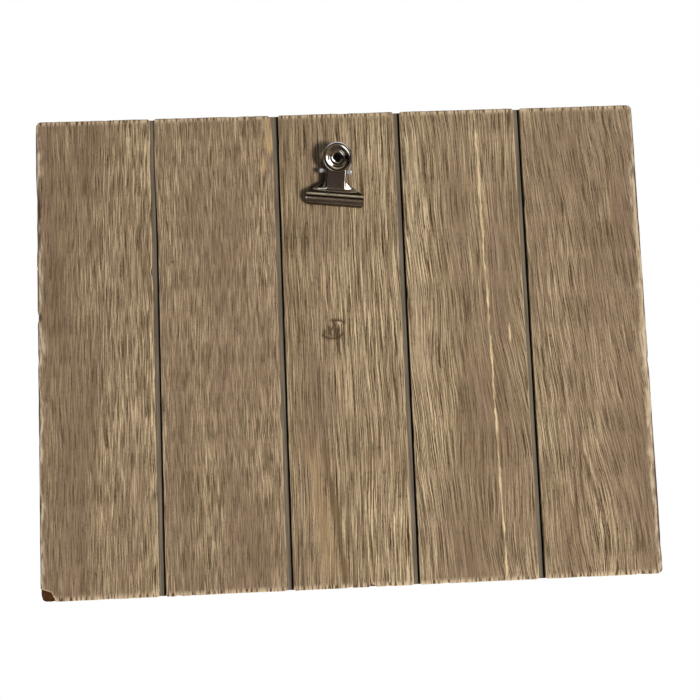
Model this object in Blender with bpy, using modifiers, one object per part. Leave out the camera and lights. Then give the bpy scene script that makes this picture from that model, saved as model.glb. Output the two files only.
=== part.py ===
"""Clipboard picture frame: five thin wood slats glued to a backing panel, with a sprung bulldog clip
screwed to the middle slat and a sawtooth hanger on the back.

Metres, +Z up. The front faces -Y and the wall is the plane y = 0. The origin is the notch of the
hanger that sits on the wall nail.
"""

import math

import bmesh
import bpy
from mathutils import Matrix, Vector

# Clearance between pieces that touch, and between a shaft and its hole
SEAT_GAP = 0.0003
BORE_CLEARANCE = 0.0003

# Board
BOARD_WIDTH = 0.320
BOARD_HEIGHT = 0.250
BOARD_CORNER_RADIUS = 0.003
PANEL_THICKNESS = 0.010
PANEL_EDGE_EASE = 0.0005
SLAT_COUNT = 5
SLAT_THICKNESS = 0.002
SLAT_GAP = 0.003
OUTER_SLAT_TRIM = 0.0012
SLAT_SHIFT = -0.0007
SLAT_CORNER_RADIUS = 0.0008
SLAT_EDGE_EASE = 0.0004

# Sawtooth hanger and its nails
HANGER_DROP = 0.020
HANGER_LENGTH = 0.045
HANGER_HEIGHT = 0.009
HANGER_SHEET = 0.0009
HANGER_STAND = 0.0026
HANGER_FOOT = 0.008
HANGER_JOG = 0.002
HANGER_END_RADIUS = 0.002
NOTCH_COUNT = 11
TOOTH_DEPTH = 0.0014
NAIL_SHANK_RADIUS = 0.0007
NAIL_HEAD_RADIUS = 0.0018
NAIL_HEAD_HEIGHT = 0.0006
NAIL_LENGTH = 0.008

# Bulldog clip: place on the board
CLIP_SCREW_DROP = 0.0269
CLIP_SCREW_SIDE = -0.0005
CLIP_TURN = math.radians(6.3)
LEVER_SPREAD = math.radians(20.0)

# Bulldog clip: the stamped sheet of each lever
CLIP_SHEET = 0.0008
PIN_OFFSET = 0.0050
PIN_TO_DISC = 0.0074
NECK_WIDTH = 0.0108
NECK_FOLD_RADIUS = 0.0008
NECK_FLANGE = 0.0012
NECK_FOOT = 0.0054
EAR_RADIUS = 0.0022
JAW_WIDTH = 0.030
JAW_REACH = 0.0171
JAW_BEAD_RADIUS = 0.0042
JAW_LIP_TRIM = 0.0014
JAW_CORNER_DROP = 0.0018
JAW_VALLEY_RADIUS = 0.0009
JAW_SHOULDER_RADIUS = 0.0010
JAW_LIP_ANGLE = math.radians(158.0)
JAW_TOP_ANGLE = math.radians(45.0)

# Bulldog clip: the dished disc of each lever
DISC_RADIUS = 0.0077
DISC_HOLE_RADIUS = 0.0023
DISC_FLOOR_RADIUS = 0.0045
DISC_RIM_ROLL = 0.00045
DISC_DEPTH = 0.0012
DISC_COLLAR = 0.0002
DISC_DIMPLE = 0.0004
DISC_WEB_RADIUS = 0.0049

# Bulldog clip: pin, spring and screw
PIN_RADIUS = 0.0009
PIN_LENGTH = 0.0168
PIN_SHIFT = -0.0006
PIN_STAKE_RADIUS = 0.0013
PIN_STAKE_LENGTH = 0.0016
SPRING_WIRE_RADIUS = 0.0004
SPRING_RADIUS = 0.00175
SPRING_HALF_WIDTH = 0.00275
SPRING_TURNS = 5
SPRING_LEG = 0.0036
POINTS_PER_CURL = 10
SCREW_HEAD_RADIUS = 0.0035
SCREW_HEAD_HEIGHT = 0.0022
SCREW_SHANK_RADIUS = 0.00175
SCREW_LENGTH = 0.0125

# How finely round shapes are faceted
TURN_STEPS = 40
SMALL_TURN_STEPS = 16
CORNER_STEPS = 4
LIP_TRIM_ROWS = 4
SMOOTH_ANGLE = math.radians(35.0)
WELD = 0.000001

# Places that follow from the sizes above
PANEL_BACK = -HANGER_STAND
PANEL_FRONT = PANEL_BACK - PANEL_THICKNESS
SLAT_BACK = PANEL_FRONT - SEAT_GAP
BOARD_FACE = SLAT_BACK - SLAT_THICKNESS
BOARD_TOP = HANGER_DROP
BOARD_MIDDLE = BOARD_TOP - BOARD_HEIGHT / 2
REAR_PLATE_HEIGHT = SEAT_GAP + DISC_DEPTH + CLIP_SHEET / 2
PIN_HEIGHT = REAR_PLATE_HEIGHT + PIN_OFFSET
FACING_FRONT = (math.pi / 2, 0.0, 0.0)

for stale in list(bpy.data.objects):
    bpy.data.objects.remove(stale)

PARTS = bpy.data.collections.new("clipboard_picture_frame")
CUTTERS = bpy.data.collections.new("cutters")
bpy.context.scene.collection.children.link(PARTS)
bpy.context.scene.collection.children.link(CUTTERS)


def make_material(name, colour, roughness, metallic):
    """A Principled material of one colour, roughness and metallic value."""
    material = bpy.data.materials.new(name)
    material.use_nodes = True
    shader = material.node_tree.nodes["Principled BSDF"]
    shader.inputs["Base Color"].default_value = (*colour, 1.0)
    shader.inputs["Roughness"].default_value = roughness
    shader.inputs["Metallic"].default_value = metallic
    return material


SLAT_WOOD = make_material("limed_wood", (0.27, 0.19, 0.12), 0.75, 0.0)
PANEL_BOARD = make_material("panel_board", (0.12, 0.07, 0.04), 0.85, 0.0)
NICKEL = make_material("nickel_plate", (0.62, 0.58, 0.52), 0.18, 1.0)
SPRING_STEEL = make_material("spring_steel", (0.35, 0.34, 0.33), 0.3, 1.0)
ZINC = make_material("zinc_plate", (0.58, 0.58, 0.56), 0.4, 1.0)
BLACK_STEEL = make_material("black_steel", (0.02, 0.02, 0.02), 0.5, 1.0)


def add_object(name, data, material=None, parent=None):
    """Links an object as a part, or as a cutter when it has no material."""
    thing = bpy.data.objects.new(name, data)
    if material is None:
        CUTTERS.objects.link(thing)
        thing.hide_render = True
        thing.display_type = "WIRE"
    else:
        PARTS.objects.link(thing)
        thing.data.materials.append(material)
    thing.parent = parent
    return thing


def add_empty(name, location, rotation, parent=None):
    """An empty that carries the pieces turning about its axis."""
    empty = bpy.data.objects.new(name, None)
    CUTTERS.objects.link(empty)
    empty.location = location
    empty.rotation_mode = "ZYX"
    empty.rotation_euler = rotation
    empty.parent = parent
    return empty


def arc(centre, radius, start, end, steps):
    """Points on an arc of the plane, from one angle to another, both ends included."""
    points = []
    for index in range(steps + 1):
        angle = start + (end - start) * index / steps
        points.append((centre[0] + radius * math.cos(angle), centre[1] + radius * math.sin(angle)))
    return points


def rounded_outline(width, height, radii):
    """A rectangle about the origin with its own radius at each corner, from upper right, anticlockwise."""
    signs = ((1, 1), (-1, 1), (-1, -1), (1, -1))
    points = []
    for quarter, ((side, up), radius) in enumerate(zip(signs, radii)):
        centre = (side * (width / 2 - radius), up * (height / 2 - radius))
        start = quarter * math.pi / 2
        points.extend(arc(centre, radius, start, start + math.pi / 2, CORNER_STEPS))
    return points


def prism_mesh(name, outline, thickness):
    """A flat outline filled and extruded to a thickness about z = 0, as a closed mesh."""
    curve = bpy.data.curves.new(name, "CURVE")
    curve.dimensions = "2D"
    curve.fill_mode = "BOTH"
    curve.extrude = thickness / 2
    spline = curve.splines.new("POLY")
    spline.points.add(len(outline) - 1)
    for point, (x, y) in zip(spline.points, outline):
        point.co = (x, y, 0.0, 1.0)
    spline.use_cyclic_u = True
    return mesh_of_curve(name, curve)


def mesh_of_curve(name, curve):
    """The evaluated mesh of a curve, with its caps welded on."""
    helper = bpy.data.objects.new(name + "_curve", curve)
    CUTTERS.objects.link(helper)
    bpy.context.view_layer.update()
    evaluated = helper.evaluated_get(bpy.context.evaluated_depsgraph_get())
    mesh = bpy.data.meshes.new_from_object(evaluated)
    mesh.name = name
    bpy.data.objects.remove(helper)
    shaped = bmesh.new()
    shaped.from_mesh(mesh)
    bmesh.ops.remove_doubles(shaped, verts=shaped.verts, dist=WELD)
    bmesh.ops.recalc_face_normals(shaped, faces=shaped.faces)
    shaped.to_mesh(mesh)
    shaped.free()
    return mesh


def profile_mesh(name, points):
    """An open profile in the XZ plane, as edges for a Screw modifier about Z."""
    mesh = bpy.data.meshes.new(name)
    ends = [(index, index + 1) for index in range(len(points) - 1)]
    mesh.from_pydata([(r, 0.0, z) for r, z in points], ends, [])
    return mesh


def turn(thing, steps):
    """Turns an object's profile about its own Z axis."""
    screw = thing.modifiers.new("turned", "SCREW")
    screw.axis = "Z"
    screw.steps = steps
    screw.render_steps = steps
    screw.use_merge_vertices = True
    screw.merge_threshold = WELD
    screw.use_smooth_shade = True
    return screw


def cylinder_cutter(name, radius, depth, parent=None):
    """A round cutter along its own Z axis, centred on its origin."""
    mesh = bpy.data.meshes.new(name)
    shaped = bmesh.new()
    bmesh.ops.create_cone(shaped, cap_ends=True, segments=SMALL_TURN_STEPS, radius1=radius,
                          radius2=radius, depth=depth)
    shaped.to_mesh(mesh)
    shaped.free()
    return add_object(name, mesh, parent=parent)


def boolean(thing, operand, operation):
    """Adds an exact Boolean with another object."""
    modifier = thing.modifiers.new(operand.name, "BOOLEAN")
    modifier.object = operand
    modifier.operation = operation
    modifier.solver = "EXACT"
    return modifier


def ease_edges(thing, width):
    """Eases the square edges of a flat piece."""
    bevel = thing.modifiers.new("eased_edges", "BEVEL")
    bevel.width = width
    bevel.segments = 1
    bevel.limit_method = "ANGLE"
    bevel.angle_limit = math.radians(60.0)


def smooth(mesh):
    """Shades a mesh smooth but for its sharp edges."""
    mesh.shade_smooth()
    mesh.set_sharp_from_angle(angle=SMOOTH_ANGLE)


def build_panel():
    """The backing panel, with the holes of the clip's screw and the hanger's nails."""
    outline = rounded_outline(BOARD_WIDTH, BOARD_HEIGHT, [BOARD_CORNER_RADIUS] * 4)
    panel = add_object("backing_panel", prism_mesh("backing_panel", outline, PANEL_THICKNESS), PANEL_BOARD)
    panel.location = (0.0, (PANEL_BACK + PANEL_FRONT) / 2, BOARD_MIDDLE)
    panel.rotation_euler = FACING_FRONT
    ease_edges(panel, PANEL_EDGE_EASE)
    return panel


def slat_spans():
    """The left edge and width of each slat, across the board."""
    free = BOARD_WIDTH - (SLAT_COUNT - 1) * SLAT_GAP
    inner = (free + 2 * OUTER_SLAT_TRIM) / SLAT_COUNT
    left = -BOARD_WIDTH / 2
    spans = []
    for index in range(SLAT_COUNT):
        width = inner
        if index == 0:
            width = inner - OUTER_SLAT_TRIM + SLAT_SHIFT
        if index == SLAT_COUNT - 1:
            width = BOARD_WIDTH / 2 - left
        spans.append((left, width))
        left += width + SLAT_GAP
    return spans


def build_slats():
    """The slats, whose outer corners follow the panel's."""
    slats = []
    for index, (left, width) in enumerate(slat_spans()):
        left_radius = BOARD_CORNER_RADIUS if index == 0 else SLAT_CORNER_RADIUS
        right_radius = BOARD_CORNER_RADIUS if index == SLAT_COUNT - 1 else SLAT_CORNER_RADIUS
        radii = (right_radius, left_radius, left_radius, right_radius)
        name = f"slat_{index + 1}"
        outline = rounded_outline(width, BOARD_HEIGHT, radii)
        slat = add_object(name, prism_mesh(name, outline, SLAT_THICKNESS), SLAT_WOOD)
        slat.location = (left + width / 2, (SLAT_BACK + BOARD_FACE) / 2, BOARD_MIDDLE)
        slat.rotation_euler = FACING_FRONT
        ease_edges(slat, SLAT_EDGE_EASE)
        slats.append(slat)
    return slats


def hanger_nail_place(side):
    """Where a nail's axis crosses the back of the panel."""
    across = side * (HANGER_LENGTH / 2 - HANGER_FOOT / 2)
    return Vector((across, PANEL_BACK, HANGER_HEIGHT / 2 - TOOTH_DEPTH))


def hanger_outline():
    """The strip seen from behind: rounded ends, and teeth along the raised middle's lower edge."""
    half = HANGER_LENGTH / 2
    low = -TOOTH_DEPTH
    high = HANGER_HEIGHT - TOOTH_DEPTH
    radius = HANGER_END_RADIUS
    toothed = HANGER_LENGTH - 2 * (HANGER_FOOT + HANGER_JOG)
    pitch = toothed / NOTCH_COUNT
    points = arc((-half + radius, low + radius), radius, math.pi, 1.5 * math.pi, CORNER_STEPS)
    for index in range(NOTCH_COUNT):
        tip = -toothed / 2 + index * pitch
        points.append((tip, low))
        points.append((tip + pitch / 2, 0.0))
    points.append((toothed / 2, low))
    points.extend(arc((half - radius, low + radius), radius, 1.5 * math.pi, 2 * math.pi, CORNER_STEPS))
    points.extend(arc((half - radius, high - radius), radius, 0.0, math.pi / 2, CORNER_STEPS))
    points.extend(arc((-half + radius, high - radius), radius, math.pi / 2, math.pi, CORNER_STEPS))
    return points


def build_hanger(panel):
    """The bent and toothed hanger strip, with the two nails that hold it to the panel."""
    foot = PANEL_BACK + SEAT_GAP + HANGER_SHEET / 2
    raised = -HANGER_SHEET / 2
    reach = HANGER_LENGTH
    bend = HANGER_LENGTH / 2 - HANGER_FOOT
    profile = [(-reach, foot), (-bend, foot), (-bend + HANGER_JOG, raised),
               (bend - HANGER_JOG, raised), (bend, foot), (reach, foot)]
    mesh = bpy.data.meshes.new("sawtooth_hanger")
    strip = bmesh.new()
    rows = [[strip.verts.new((x, y, z)) for x, y in profile] for z in (-reach, reach)]
    for index in range(len(profile) - 1):
        strip.faces.new((rows[0][index], rows[0][index + 1], rows[1][index + 1], rows[1][index]))
    strip.to_mesh(mesh)
    strip.free()
    hanger = add_object("sawtooth_hanger", mesh, ZINC)
    shell = hanger.modifiers.new("sheet", "SOLIDIFY")
    shell.thickness = HANGER_SHEET
    shell.offset = 0.0
    shell.use_even_offset = True
    blank = add_object("hanger_blank", prism_mesh("hanger_blank", hanger_outline(), 4 * HANGER_STAND))
    blank.rotation_euler = FACING_FRONT
    boolean(hanger, blank, "INTERSECT")
    for side, word in ((-1, "left"), (1, "right")):
        place = hanger_nail_place(side)
        bore = cylinder_cutter(f"nail_bore_{word}", NAIL_SHANK_RADIUS + BORE_CLEARANCE, 2 * NAIL_LENGTH)
        bore.location = place
        bore.rotation_euler = FACING_FRONT
        boolean(hanger, bore, "DIFFERENCE")
        hole = cylinder_cutter(f"nail_hole_{word}", NAIL_SHANK_RADIUS + BORE_CLEARANCE,
                               2 * (NAIL_LENGTH + BORE_CLEARANCE))
        hole.location = place
        hole.rotation_euler = FACING_FRONT
        boolean(panel, hole, "DIFFERENCE")
        build_nail(f"hanger_nail_{word}", place)
    return hanger


def build_nail(name, place):
    """A small flat-headed nail, driven into the panel from behind."""
    seat = 2 * SEAT_GAP + HANGER_SHEET
    point = NAIL_SHANK_RADIUS * 2
    profile = [(0.0, seat + NAIL_HEAD_HEIGHT), (NAIL_HEAD_RADIUS * 0.8, seat + NAIL_HEAD_HEIGHT),
               (NAIL_HEAD_RADIUS, seat + NAIL_HEAD_HEIGHT / 2), (NAIL_HEAD_RADIUS, seat),
               (NAIL_SHANK_RADIUS, seat), (NAIL_SHANK_RADIUS, -NAIL_LENGTH + point), (0.0, -NAIL_LENGTH)]
    nail = add_object(name, profile_mesh(name, profile), ZINC)
    turn(nail, SMALL_TURN_STEPS)
    nail.location = place
    nail.rotation_euler = (-math.pi / 2, 0.0, 0.0)
    return nail


def jaw_profile():
    """The lever's side profile from the lip up to the neck, as (height, out) from the flat of the neck."""
    out = -JAW_BEAD_RADIUS * math.sin(JAW_TOP_ANGLE) - JAW_SHOULDER_RADIUS * (1 - math.sin(JAW_TOP_ANGLE))
    bead = (-JAW_REACH - JAW_BEAD_RADIUS * math.cos(JAW_LIP_ANGLE), out)
    points = arc(bead, JAW_BEAD_RADIUS, JAW_LIP_ANGLE, JAW_TOP_ANGLE, 9)
    top = Vector(points[-1])
    along = Vector((math.cos(JAW_TOP_ANGLE), math.sin(JAW_TOP_ANGLE)))
    valley = top + JAW_VALLEY_RADIUS * along
    points.extend(arc(valley, JAW_VALLEY_RADIUS, math.pi + JAW_TOP_ANGLE, 2 * math.pi - JAW_TOP_ANGLE, 4)[1:])
    shoulder = Vector(points[-1]) + JAW_SHOULDER_RADIUS * Vector((along.x, -along.y))
    points.extend(arc(shoulder, JAW_SHOULDER_RADIUS, math.pi - JAW_TOP_ANGLE, math.pi / 2, 3)[1:])
    return points


def flange_depth(height):
    """How far the neck's side flange reaches in from the flat, down to the round ear about the pin."""
    if abs(height) <= EAR_RADIUS:
        return PIN_OFFSET + math.sqrt(EAR_RADIUS ** 2 - height ** 2)
    taper = (-height - EAR_RADIUS) / (NECK_FOOT - EAR_RADIUS)
    foot = NECK_FLANGE + NECK_FOLD_RADIUS
    return PIN_OFFSET + (foot - PIN_OFFSET) * min(max(taper, 0.0), 1.0)


def section(web, fold, flange):
    """Half a section across the sheet, from its middle: flat web, fold, straight flange, as (across, out)."""
    fold_length = NECK_FOLD_RADIUS * math.pi / 2
    points = [(0.0, 0.0), (web / 2, 0.0), (web, 0.0)]
    for share in (1 / 3, 2 / 3, 1.0):
        turned = fold * share
        along = fold_length * share
        chord = math.sin(turned / 2) / (turned / 2) if turned > WELD else 1.0
        points.append((web + along * chord * math.cos(turned / 2), -along * chord * math.sin(turned / 2)))
    start = points[-1]
    for share in (1 / 3, 2 / 3, 1.0):
        reach = flange * share
        points.append((start[0] + reach * math.cos(fold), start[1] - reach * math.sin(fold)))
    return points


def lever_rows(neck_width):
    """Rows of points across the lever's sheet, from the lip to under the disc, about the pin's axis."""
    web = neck_width / 2 - CLIP_SHEET / 2 - NECK_FOLD_RADIUS
    widest = JAW_WIDTH / 2 - web - NECK_FOLD_RADIUS * math.pi / 2
    profile = jaw_profile()
    jaw_top = -JAW_REACH - JAW_BEAD_RADIUS * (math.cos(JAW_LIP_ANGLE) - math.cos(JAW_TOP_ANGLE))
    for share in (1.0, 0.75, 0.5, 0.25):
        profile.append((-EAR_RADIUS - (NECK_FOOT - EAR_RADIUS) * share, 0.0))
    profile.extend((-EAR_RADIUS * math.cos(math.pi * step / 8), 0.0) for step in range(9))
    rows = []
    for index, (height, out) in enumerate(profile):
        flare = min(max((-NECK_FOOT - height) / (-NECK_FOOT - jaw_top), 0.0), 1.0)
        fold = (1.0 - flare) ** 2 * math.pi / 2
        spread = min((-NECK_FOOT - height) / (-NECK_FOOT - jaw_top + JAW_CORNER_DROP), 1.0)
        flange = NECK_FLANGE + (widest - NECK_FLANGE) * spread ** 2 * (3.0 - 2.0 * spread)
        if flare == 0.0:
            flange = flange_depth(height) - NECK_FOLD_RADIUS
        flange -= JAW_LIP_TRIM * max(0.0, 1.0 - index / LIP_TRIM_ROWS) ** 2
        half = section(web, fold, flange)
        rows.append([(across, height, PIN_OFFSET + out + drop) for across, drop in half])
    last = []
    for across, height, out in rows[-1]:
        under_disc = PIN_TO_DISC - math.sqrt(max(DISC_WEB_RADIUS ** 2 - across ** 2, 0.0))
        last.append((across, under_disc if across <= web else height + SEAT_GAP, out))
    rows.append(last)
    return rows


def lever_sheet(name, neck_width):
    """The lever's jaw, neck and ears as one open sheet, symmetrical about its middle."""
    mesh = bpy.data.meshes.new(name)
    sheet = bmesh.new()
    grid = []
    for row in lever_rows(neck_width):
        left = [sheet.verts.new((-across, height, out)) for across, height, out in reversed(row[1:])]
        right = [sheet.verts.new(point) for point in row]
        grid.append(left + right)
    for low, high in zip(grid, grid[1:]):
        for column in range(len(low) - 1):
            sheet.faces.new((low[column], low[column + 1], high[column + 1], high[column]))
    sheet.to_mesh(mesh)
    sheet.free()
    smooth(mesh)
    return mesh


def disc_profile(collar):
    """The dished disc's half section, from its hole, whose edge stands out by collar, to its rolled rim."""
    roll = (DISC_RADIUS - CLIP_SHEET / 2 - DISC_RIM_ROLL, DISC_DEPTH - DISC_RIM_ROLL)
    wall = DISC_FLOOR_RADIUS + CLIP_SHEET
    points = [(DISC_HOLE_RADIUS, collar), (DISC_HOLE_RADIUS + CLIP_SHEET, 0.0), (DISC_FLOOR_RADIUS, 0.0),
              (wall, DISC_COLLAR)]
    points.extend(arc(roll, DISC_RIM_ROLL, 0.75 * math.pi, 0.0, 4))
    points.reverse()
    return [(radius, PIN_OFFSET + out) for radius, out in points]


def build_lever(name, axis, neck_width, collar, turned):
    """A lever: its sheet, the dished disc joined on, and the pin's bore through its ears."""
    lever = add_object(name, lever_sheet(name, neck_width), NICKEL, axis)
    lever.rotation_mode = "ZYX"
    lever.rotation_euler = turned
    shell = lever.modifiers.new("sheet", "SOLIDIFY")
    disc = add_object(name + "_disc", profile_mesh(name + "_disc", disc_profile(collar)), parent=lever)
    disc.location = (0.0, PIN_TO_DISC, 0.0)
    turn(disc, TURN_STEPS)
    disc_shell = disc.modifiers.new("sheet", "SOLIDIFY")
    for each in (shell, disc_shell):
        each.thickness = CLIP_SHEET
        each.offset = 0.0
        each.use_even_offset = True
        each.use_quality_normals = True
    boolean(lever, disc, "UNION")
    bore = cylinder_cutter(name + "_bore", PIN_RADIUS + BORE_CLEARANCE, JAW_WIDTH, lever)
    bore.rotation_euler = (0.0, math.pi / 2, 0.0)
    boolean(lever, bore, "DIFFERENCE")
    return lever


def build_pin(axis):
    """The hinge pin, with both ends staked wider than its bore."""
    half = PIN_LENGTH / 2
    stake = half - PIN_STAKE_LENGTH
    profile = [(0.0, half), (PIN_STAKE_RADIUS * 0.8, half), (PIN_STAKE_RADIUS, half - PIN_STAKE_LENGTH * 0.25),
               (PIN_STAKE_RADIUS, stake + PIN_STAKE_LENGTH * 0.4), (PIN_RADIUS, stake)]
    profile.extend((radius, -height) for radius, height in reversed(profile[:]))
    pin = add_object("clip_hinge_pin", profile_mesh("clip_hinge_pin", profile), ZINC, axis)
    pin.location = (PIN_SHIFT, 0.0, 0.0)
    pin.rotation_euler = (0.0, math.pi / 2, 0.0)
    turn(pin, SMALL_TURN_STEPS)
    return pin


def spring_route():
    """The spring's middle line about the pin: rear leg, curls, front leg, as (across, up, out)."""
    seat = PIN_OFFSET - CLIP_SHEET / 2 - SEAT_GAP - SPRING_WIRE_RADIUS
    leg = math.hypot(SPRING_LEG, seat)
    leg_angle = math.atan2(seat, SPRING_LEG)
    touch = leg_angle + math.acos(SPRING_RADIUS / leg)
    first = -touch
    last = LEVER_SPREAD + touch - 2 * math.pi * SPRING_TURNS
    count = round(POINTS_PER_CURL * (first - last) / (2 * math.pi))
    route = [(-SPRING_HALF_WIDTH, leg * math.cos(leg_angle), -leg * math.sin(leg_angle))]
    for index in range(count + 1):
        share = index / count
        angle = first + (last - first) * share
        across = SPRING_HALF_WIDTH * (2 * share - 1)
        route.append((across, SPRING_RADIUS * math.cos(angle), SPRING_RADIUS * math.sin(angle)))
    tip = LEVER_SPREAD + leg_angle
    route.append((SPRING_HALF_WIDTH, leg * math.cos(tip), leg * math.sin(tip)))
    return route


def least_self_gap(route):
    """The least gap between parts of the wire that lie over half a curl apart along it."""
    apart = POINTS_PER_CURL // 2 + 1
    nearest = math.inf
    for index, point in enumerate(route):
        for other in route[index + apart:]:
            nearest = min(nearest, (Vector(point) - Vector(other)).length)
    return nearest - 2 * SPRING_WIRE_RADIUS


def build_spring(axis):
    """The torsion spring, one unbroken wire."""
    route = spring_route()
    curve = bpy.data.curves.new("clip_spring", "CURVE")
    curve.dimensions = "3D"
    curve.bevel_depth = SPRING_WIRE_RADIUS
    curve.bevel_resolution = 1
    curve.use_fill_caps = True
    spline = curve.splines.new("POLY")
    spline.points.add(len(route) - 1)
    for point, place in zip(spline.points, route):
        point.co = (*place, 1.0)
    print(f"spring: least gap to itself {least_self_gap(route) * 1000:.2f} mm")
    return add_object("clip_spring", curve, SPRING_STEEL, axis)


def build_clip_screw(axis, pierced):
    """The pan-head screw through the rear disc, and its hole through the slat and into the panel."""
    seat = REAR_PLATE_HEIGHT + CLIP_SHEET / 2 + SEAT_GAP
    crown = arc((SCREW_HEAD_RADIUS - SCREW_HEAD_HEIGHT * 0.7, seat + SCREW_HEAD_HEIGHT * 0.3),
                SCREW_HEAD_HEIGHT * 0.7, math.pi / 2, 0.0, 4)
    point = SCREW_SHANK_RADIUS * 2
    profile = [(0.0, seat + SCREW_HEAD_HEIGHT), *crown, (SCREW_HEAD_RADIUS, seat), (SCREW_SHANK_RADIUS, seat),
               (SCREW_SHANK_RADIUS, seat - SCREW_LENGTH + point), (0.0, seat - SCREW_LENGTH)]
    screw = add_object("clip_screw", profile_mesh("clip_screw", profile), BLACK_STEEL, axis)
    turn(screw, SMALL_TURN_STEPS)
    bore = cylinder_cutter("clip_screw_bore", SCREW_SHANK_RADIUS + BORE_CLEARANCE,
                           2 * (SCREW_LENGTH - seat + BORE_CLEARANCE), axis)
    for thing in pierced:
        boolean(thing, bore, "DIFFERENCE")
    return screw


def slat_under(across, slats):
    """The slat that lies under a place across the board."""
    for (left, width), slat in zip(slat_spans(), slats):
        if left <= across <= left + width:
            return slat
    raise ValueError("the clip's screw falls in a gap between slats")


def build_clip(panel, slats):
    """The clip on its screw: the rear lever lies on the board, the front lever turns on the pin."""
    place = (CLIP_SCREW_SIDE, BOARD_FACE, BOARD_TOP - CLIP_SCREW_DROP)
    swivel = add_empty("clip_swivel_axis", place, (math.pi / 2, 0.0, -CLIP_TURN))
    hinge = add_empty("jaw_hinge_axis", (0.0, -PIN_TO_DISC, PIN_HEIGHT), (0.0, 0.0, 0.0), swivel)
    ear_step = 2 * (CLIP_SHEET + SEAT_GAP)
    build_lever("clip_rear_lever", hinge, NECK_WIDTH - ear_step, DISC_COLLAR, (0.0, math.pi, 0.0))
    build_lever("clip_front_lever", hinge, NECK_WIDTH, -DISC_DIMPLE, (LEVER_SPREAD, 0.0, 0.0))
    build_pin(hinge)
    build_spring(hinge)
    build_clip_screw(swivel, (slat_under(CLIP_SCREW_SIDE, slats), panel))


panel_piece = build_panel()
slat_pieces = build_slats()
build_hanger(panel_piece)
build_clip(panel_piece, slat_pieces)
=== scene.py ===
"""Looks of the clipboard picture frame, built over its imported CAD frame.

Five limed, wire-brushed slats lie on a fibreboard panel. A nickel bulldog clip is screwed to the middle
slat and a zinc sawtooth hanger sits on the back. Places on the board are in millimetres from its middle:
across to the right and up. The front faces -Y.
"""

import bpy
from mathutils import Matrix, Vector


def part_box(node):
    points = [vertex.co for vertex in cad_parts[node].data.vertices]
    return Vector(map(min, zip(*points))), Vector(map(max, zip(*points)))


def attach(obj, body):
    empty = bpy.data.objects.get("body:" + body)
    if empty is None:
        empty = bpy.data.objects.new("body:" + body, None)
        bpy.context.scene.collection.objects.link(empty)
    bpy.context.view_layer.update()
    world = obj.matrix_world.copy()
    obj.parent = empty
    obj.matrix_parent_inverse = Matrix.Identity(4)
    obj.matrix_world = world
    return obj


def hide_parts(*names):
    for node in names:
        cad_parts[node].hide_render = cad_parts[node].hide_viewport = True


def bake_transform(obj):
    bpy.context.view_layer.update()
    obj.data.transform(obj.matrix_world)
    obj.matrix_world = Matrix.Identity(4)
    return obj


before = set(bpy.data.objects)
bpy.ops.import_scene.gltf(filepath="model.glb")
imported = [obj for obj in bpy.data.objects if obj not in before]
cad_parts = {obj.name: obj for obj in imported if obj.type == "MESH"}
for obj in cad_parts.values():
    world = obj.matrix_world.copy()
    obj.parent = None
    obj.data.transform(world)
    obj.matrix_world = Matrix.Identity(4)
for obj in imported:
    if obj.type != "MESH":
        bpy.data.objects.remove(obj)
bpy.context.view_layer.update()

import logging
import math
from dataclasses import dataclass, field
from enum import Enum
from typing import Iterable, Sequence

import bmesh
import bpy
from mathutils import Matrix, Vector, noise

LOG = logging.getLogger("scene")
MM = 0.001

Point = tuple[float, float]
Triple = tuple[float, float, float]
Colour = Triple
Value = float | Triple | bpy.types.NodeSocket
Sockets = dict[str, bpy.types.NodeSocket]


class Body(Enum):
    """The CAD bodies that pieces ride on."""

    BOARD = "board"
    CLIP_BASE = "clip_base"
    CLIP_FRONT = "clip_front"


class Slot(Enum):
    """The record's material slots."""

    WOOD = "slat_wood"
    PANEL = "panel_board"
    NICKEL = "clip_nickel"
    SPRING = "spring_steel"
    ZINC = "zinc_steel"
    BLACK = "black_steel"


class Side(Enum):
    """The sides of a slat, in the order in which their wear is read."""

    LEFT = 0
    RIGHT = 1
    LOW = 2
    HIGH = 3


class StrokeKind(Enum):
    """What a long stroke along the grain is made of."""

    AMBER = "amber stain"
    CREAM = "bright sapwood"
    DOT = "small dark mark"
    PALE = "pale filler or bare wood"
    DARK = "dark figure in the wood"
    WARM = "warm stain"


def tone(red: float, green: float, blue: float) -> Colour:
    """Turns display values into a linear colour.

    Args:
        red: Display red, 0 to 255.
        green: Display green, 0 to 255.
        blue: Display blue, 0 to 255.

    Returns:
        The linear colour.
    """
    shares = [part / 255.0 for part in (red, green, blue)]
    return tuple(s / 12.92 if s <= 0.04045 else ((s + 0.055) / 1.055) ** 2.4 for s in shares)


def arc(centre: Point, radius: float, start: float, end: float, steps: int) -> list[Point]:
    """Points on an arc of the plane, both ends included.

    Args:
        centre: Centre of the arc.
        radius: Radius of the arc.
        start: First angle, radians.
        end: Last angle, radians.
        steps: Number of steps between them.

    Returns:
        The points in order.
    """
    angles = [start + (end - start) * index / steps for index in range(steps + 1)]
    return [(centre[0] + radius * math.cos(angle), centre[1] + radius * math.sin(angle)) for angle in angles]


def eased(points: Sequence[Point], bend: float) -> list[Point]:
    """Rounds a line's corners so that the runs between them stay straight.

    Args:
        points: The line.
        bend: How far from a corner its rounding starts.

    Returns:
        The rounded line.
    """
    made = [points[0]]
    for before, gap_shadow, after in zip(points, points[1:], points[2:]):
        middle = Vector(gap_shadow)
        arms = [(Vector(end) - middle).normalized() * bend for end in (before, after)]
        line = [middle + arms[0], middle + (arms[0] + arms[1]) / 4, middle + arms[1]]
        made.extend(tuple(each) for each in line)
    made.append(points[-1])
    return made


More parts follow.
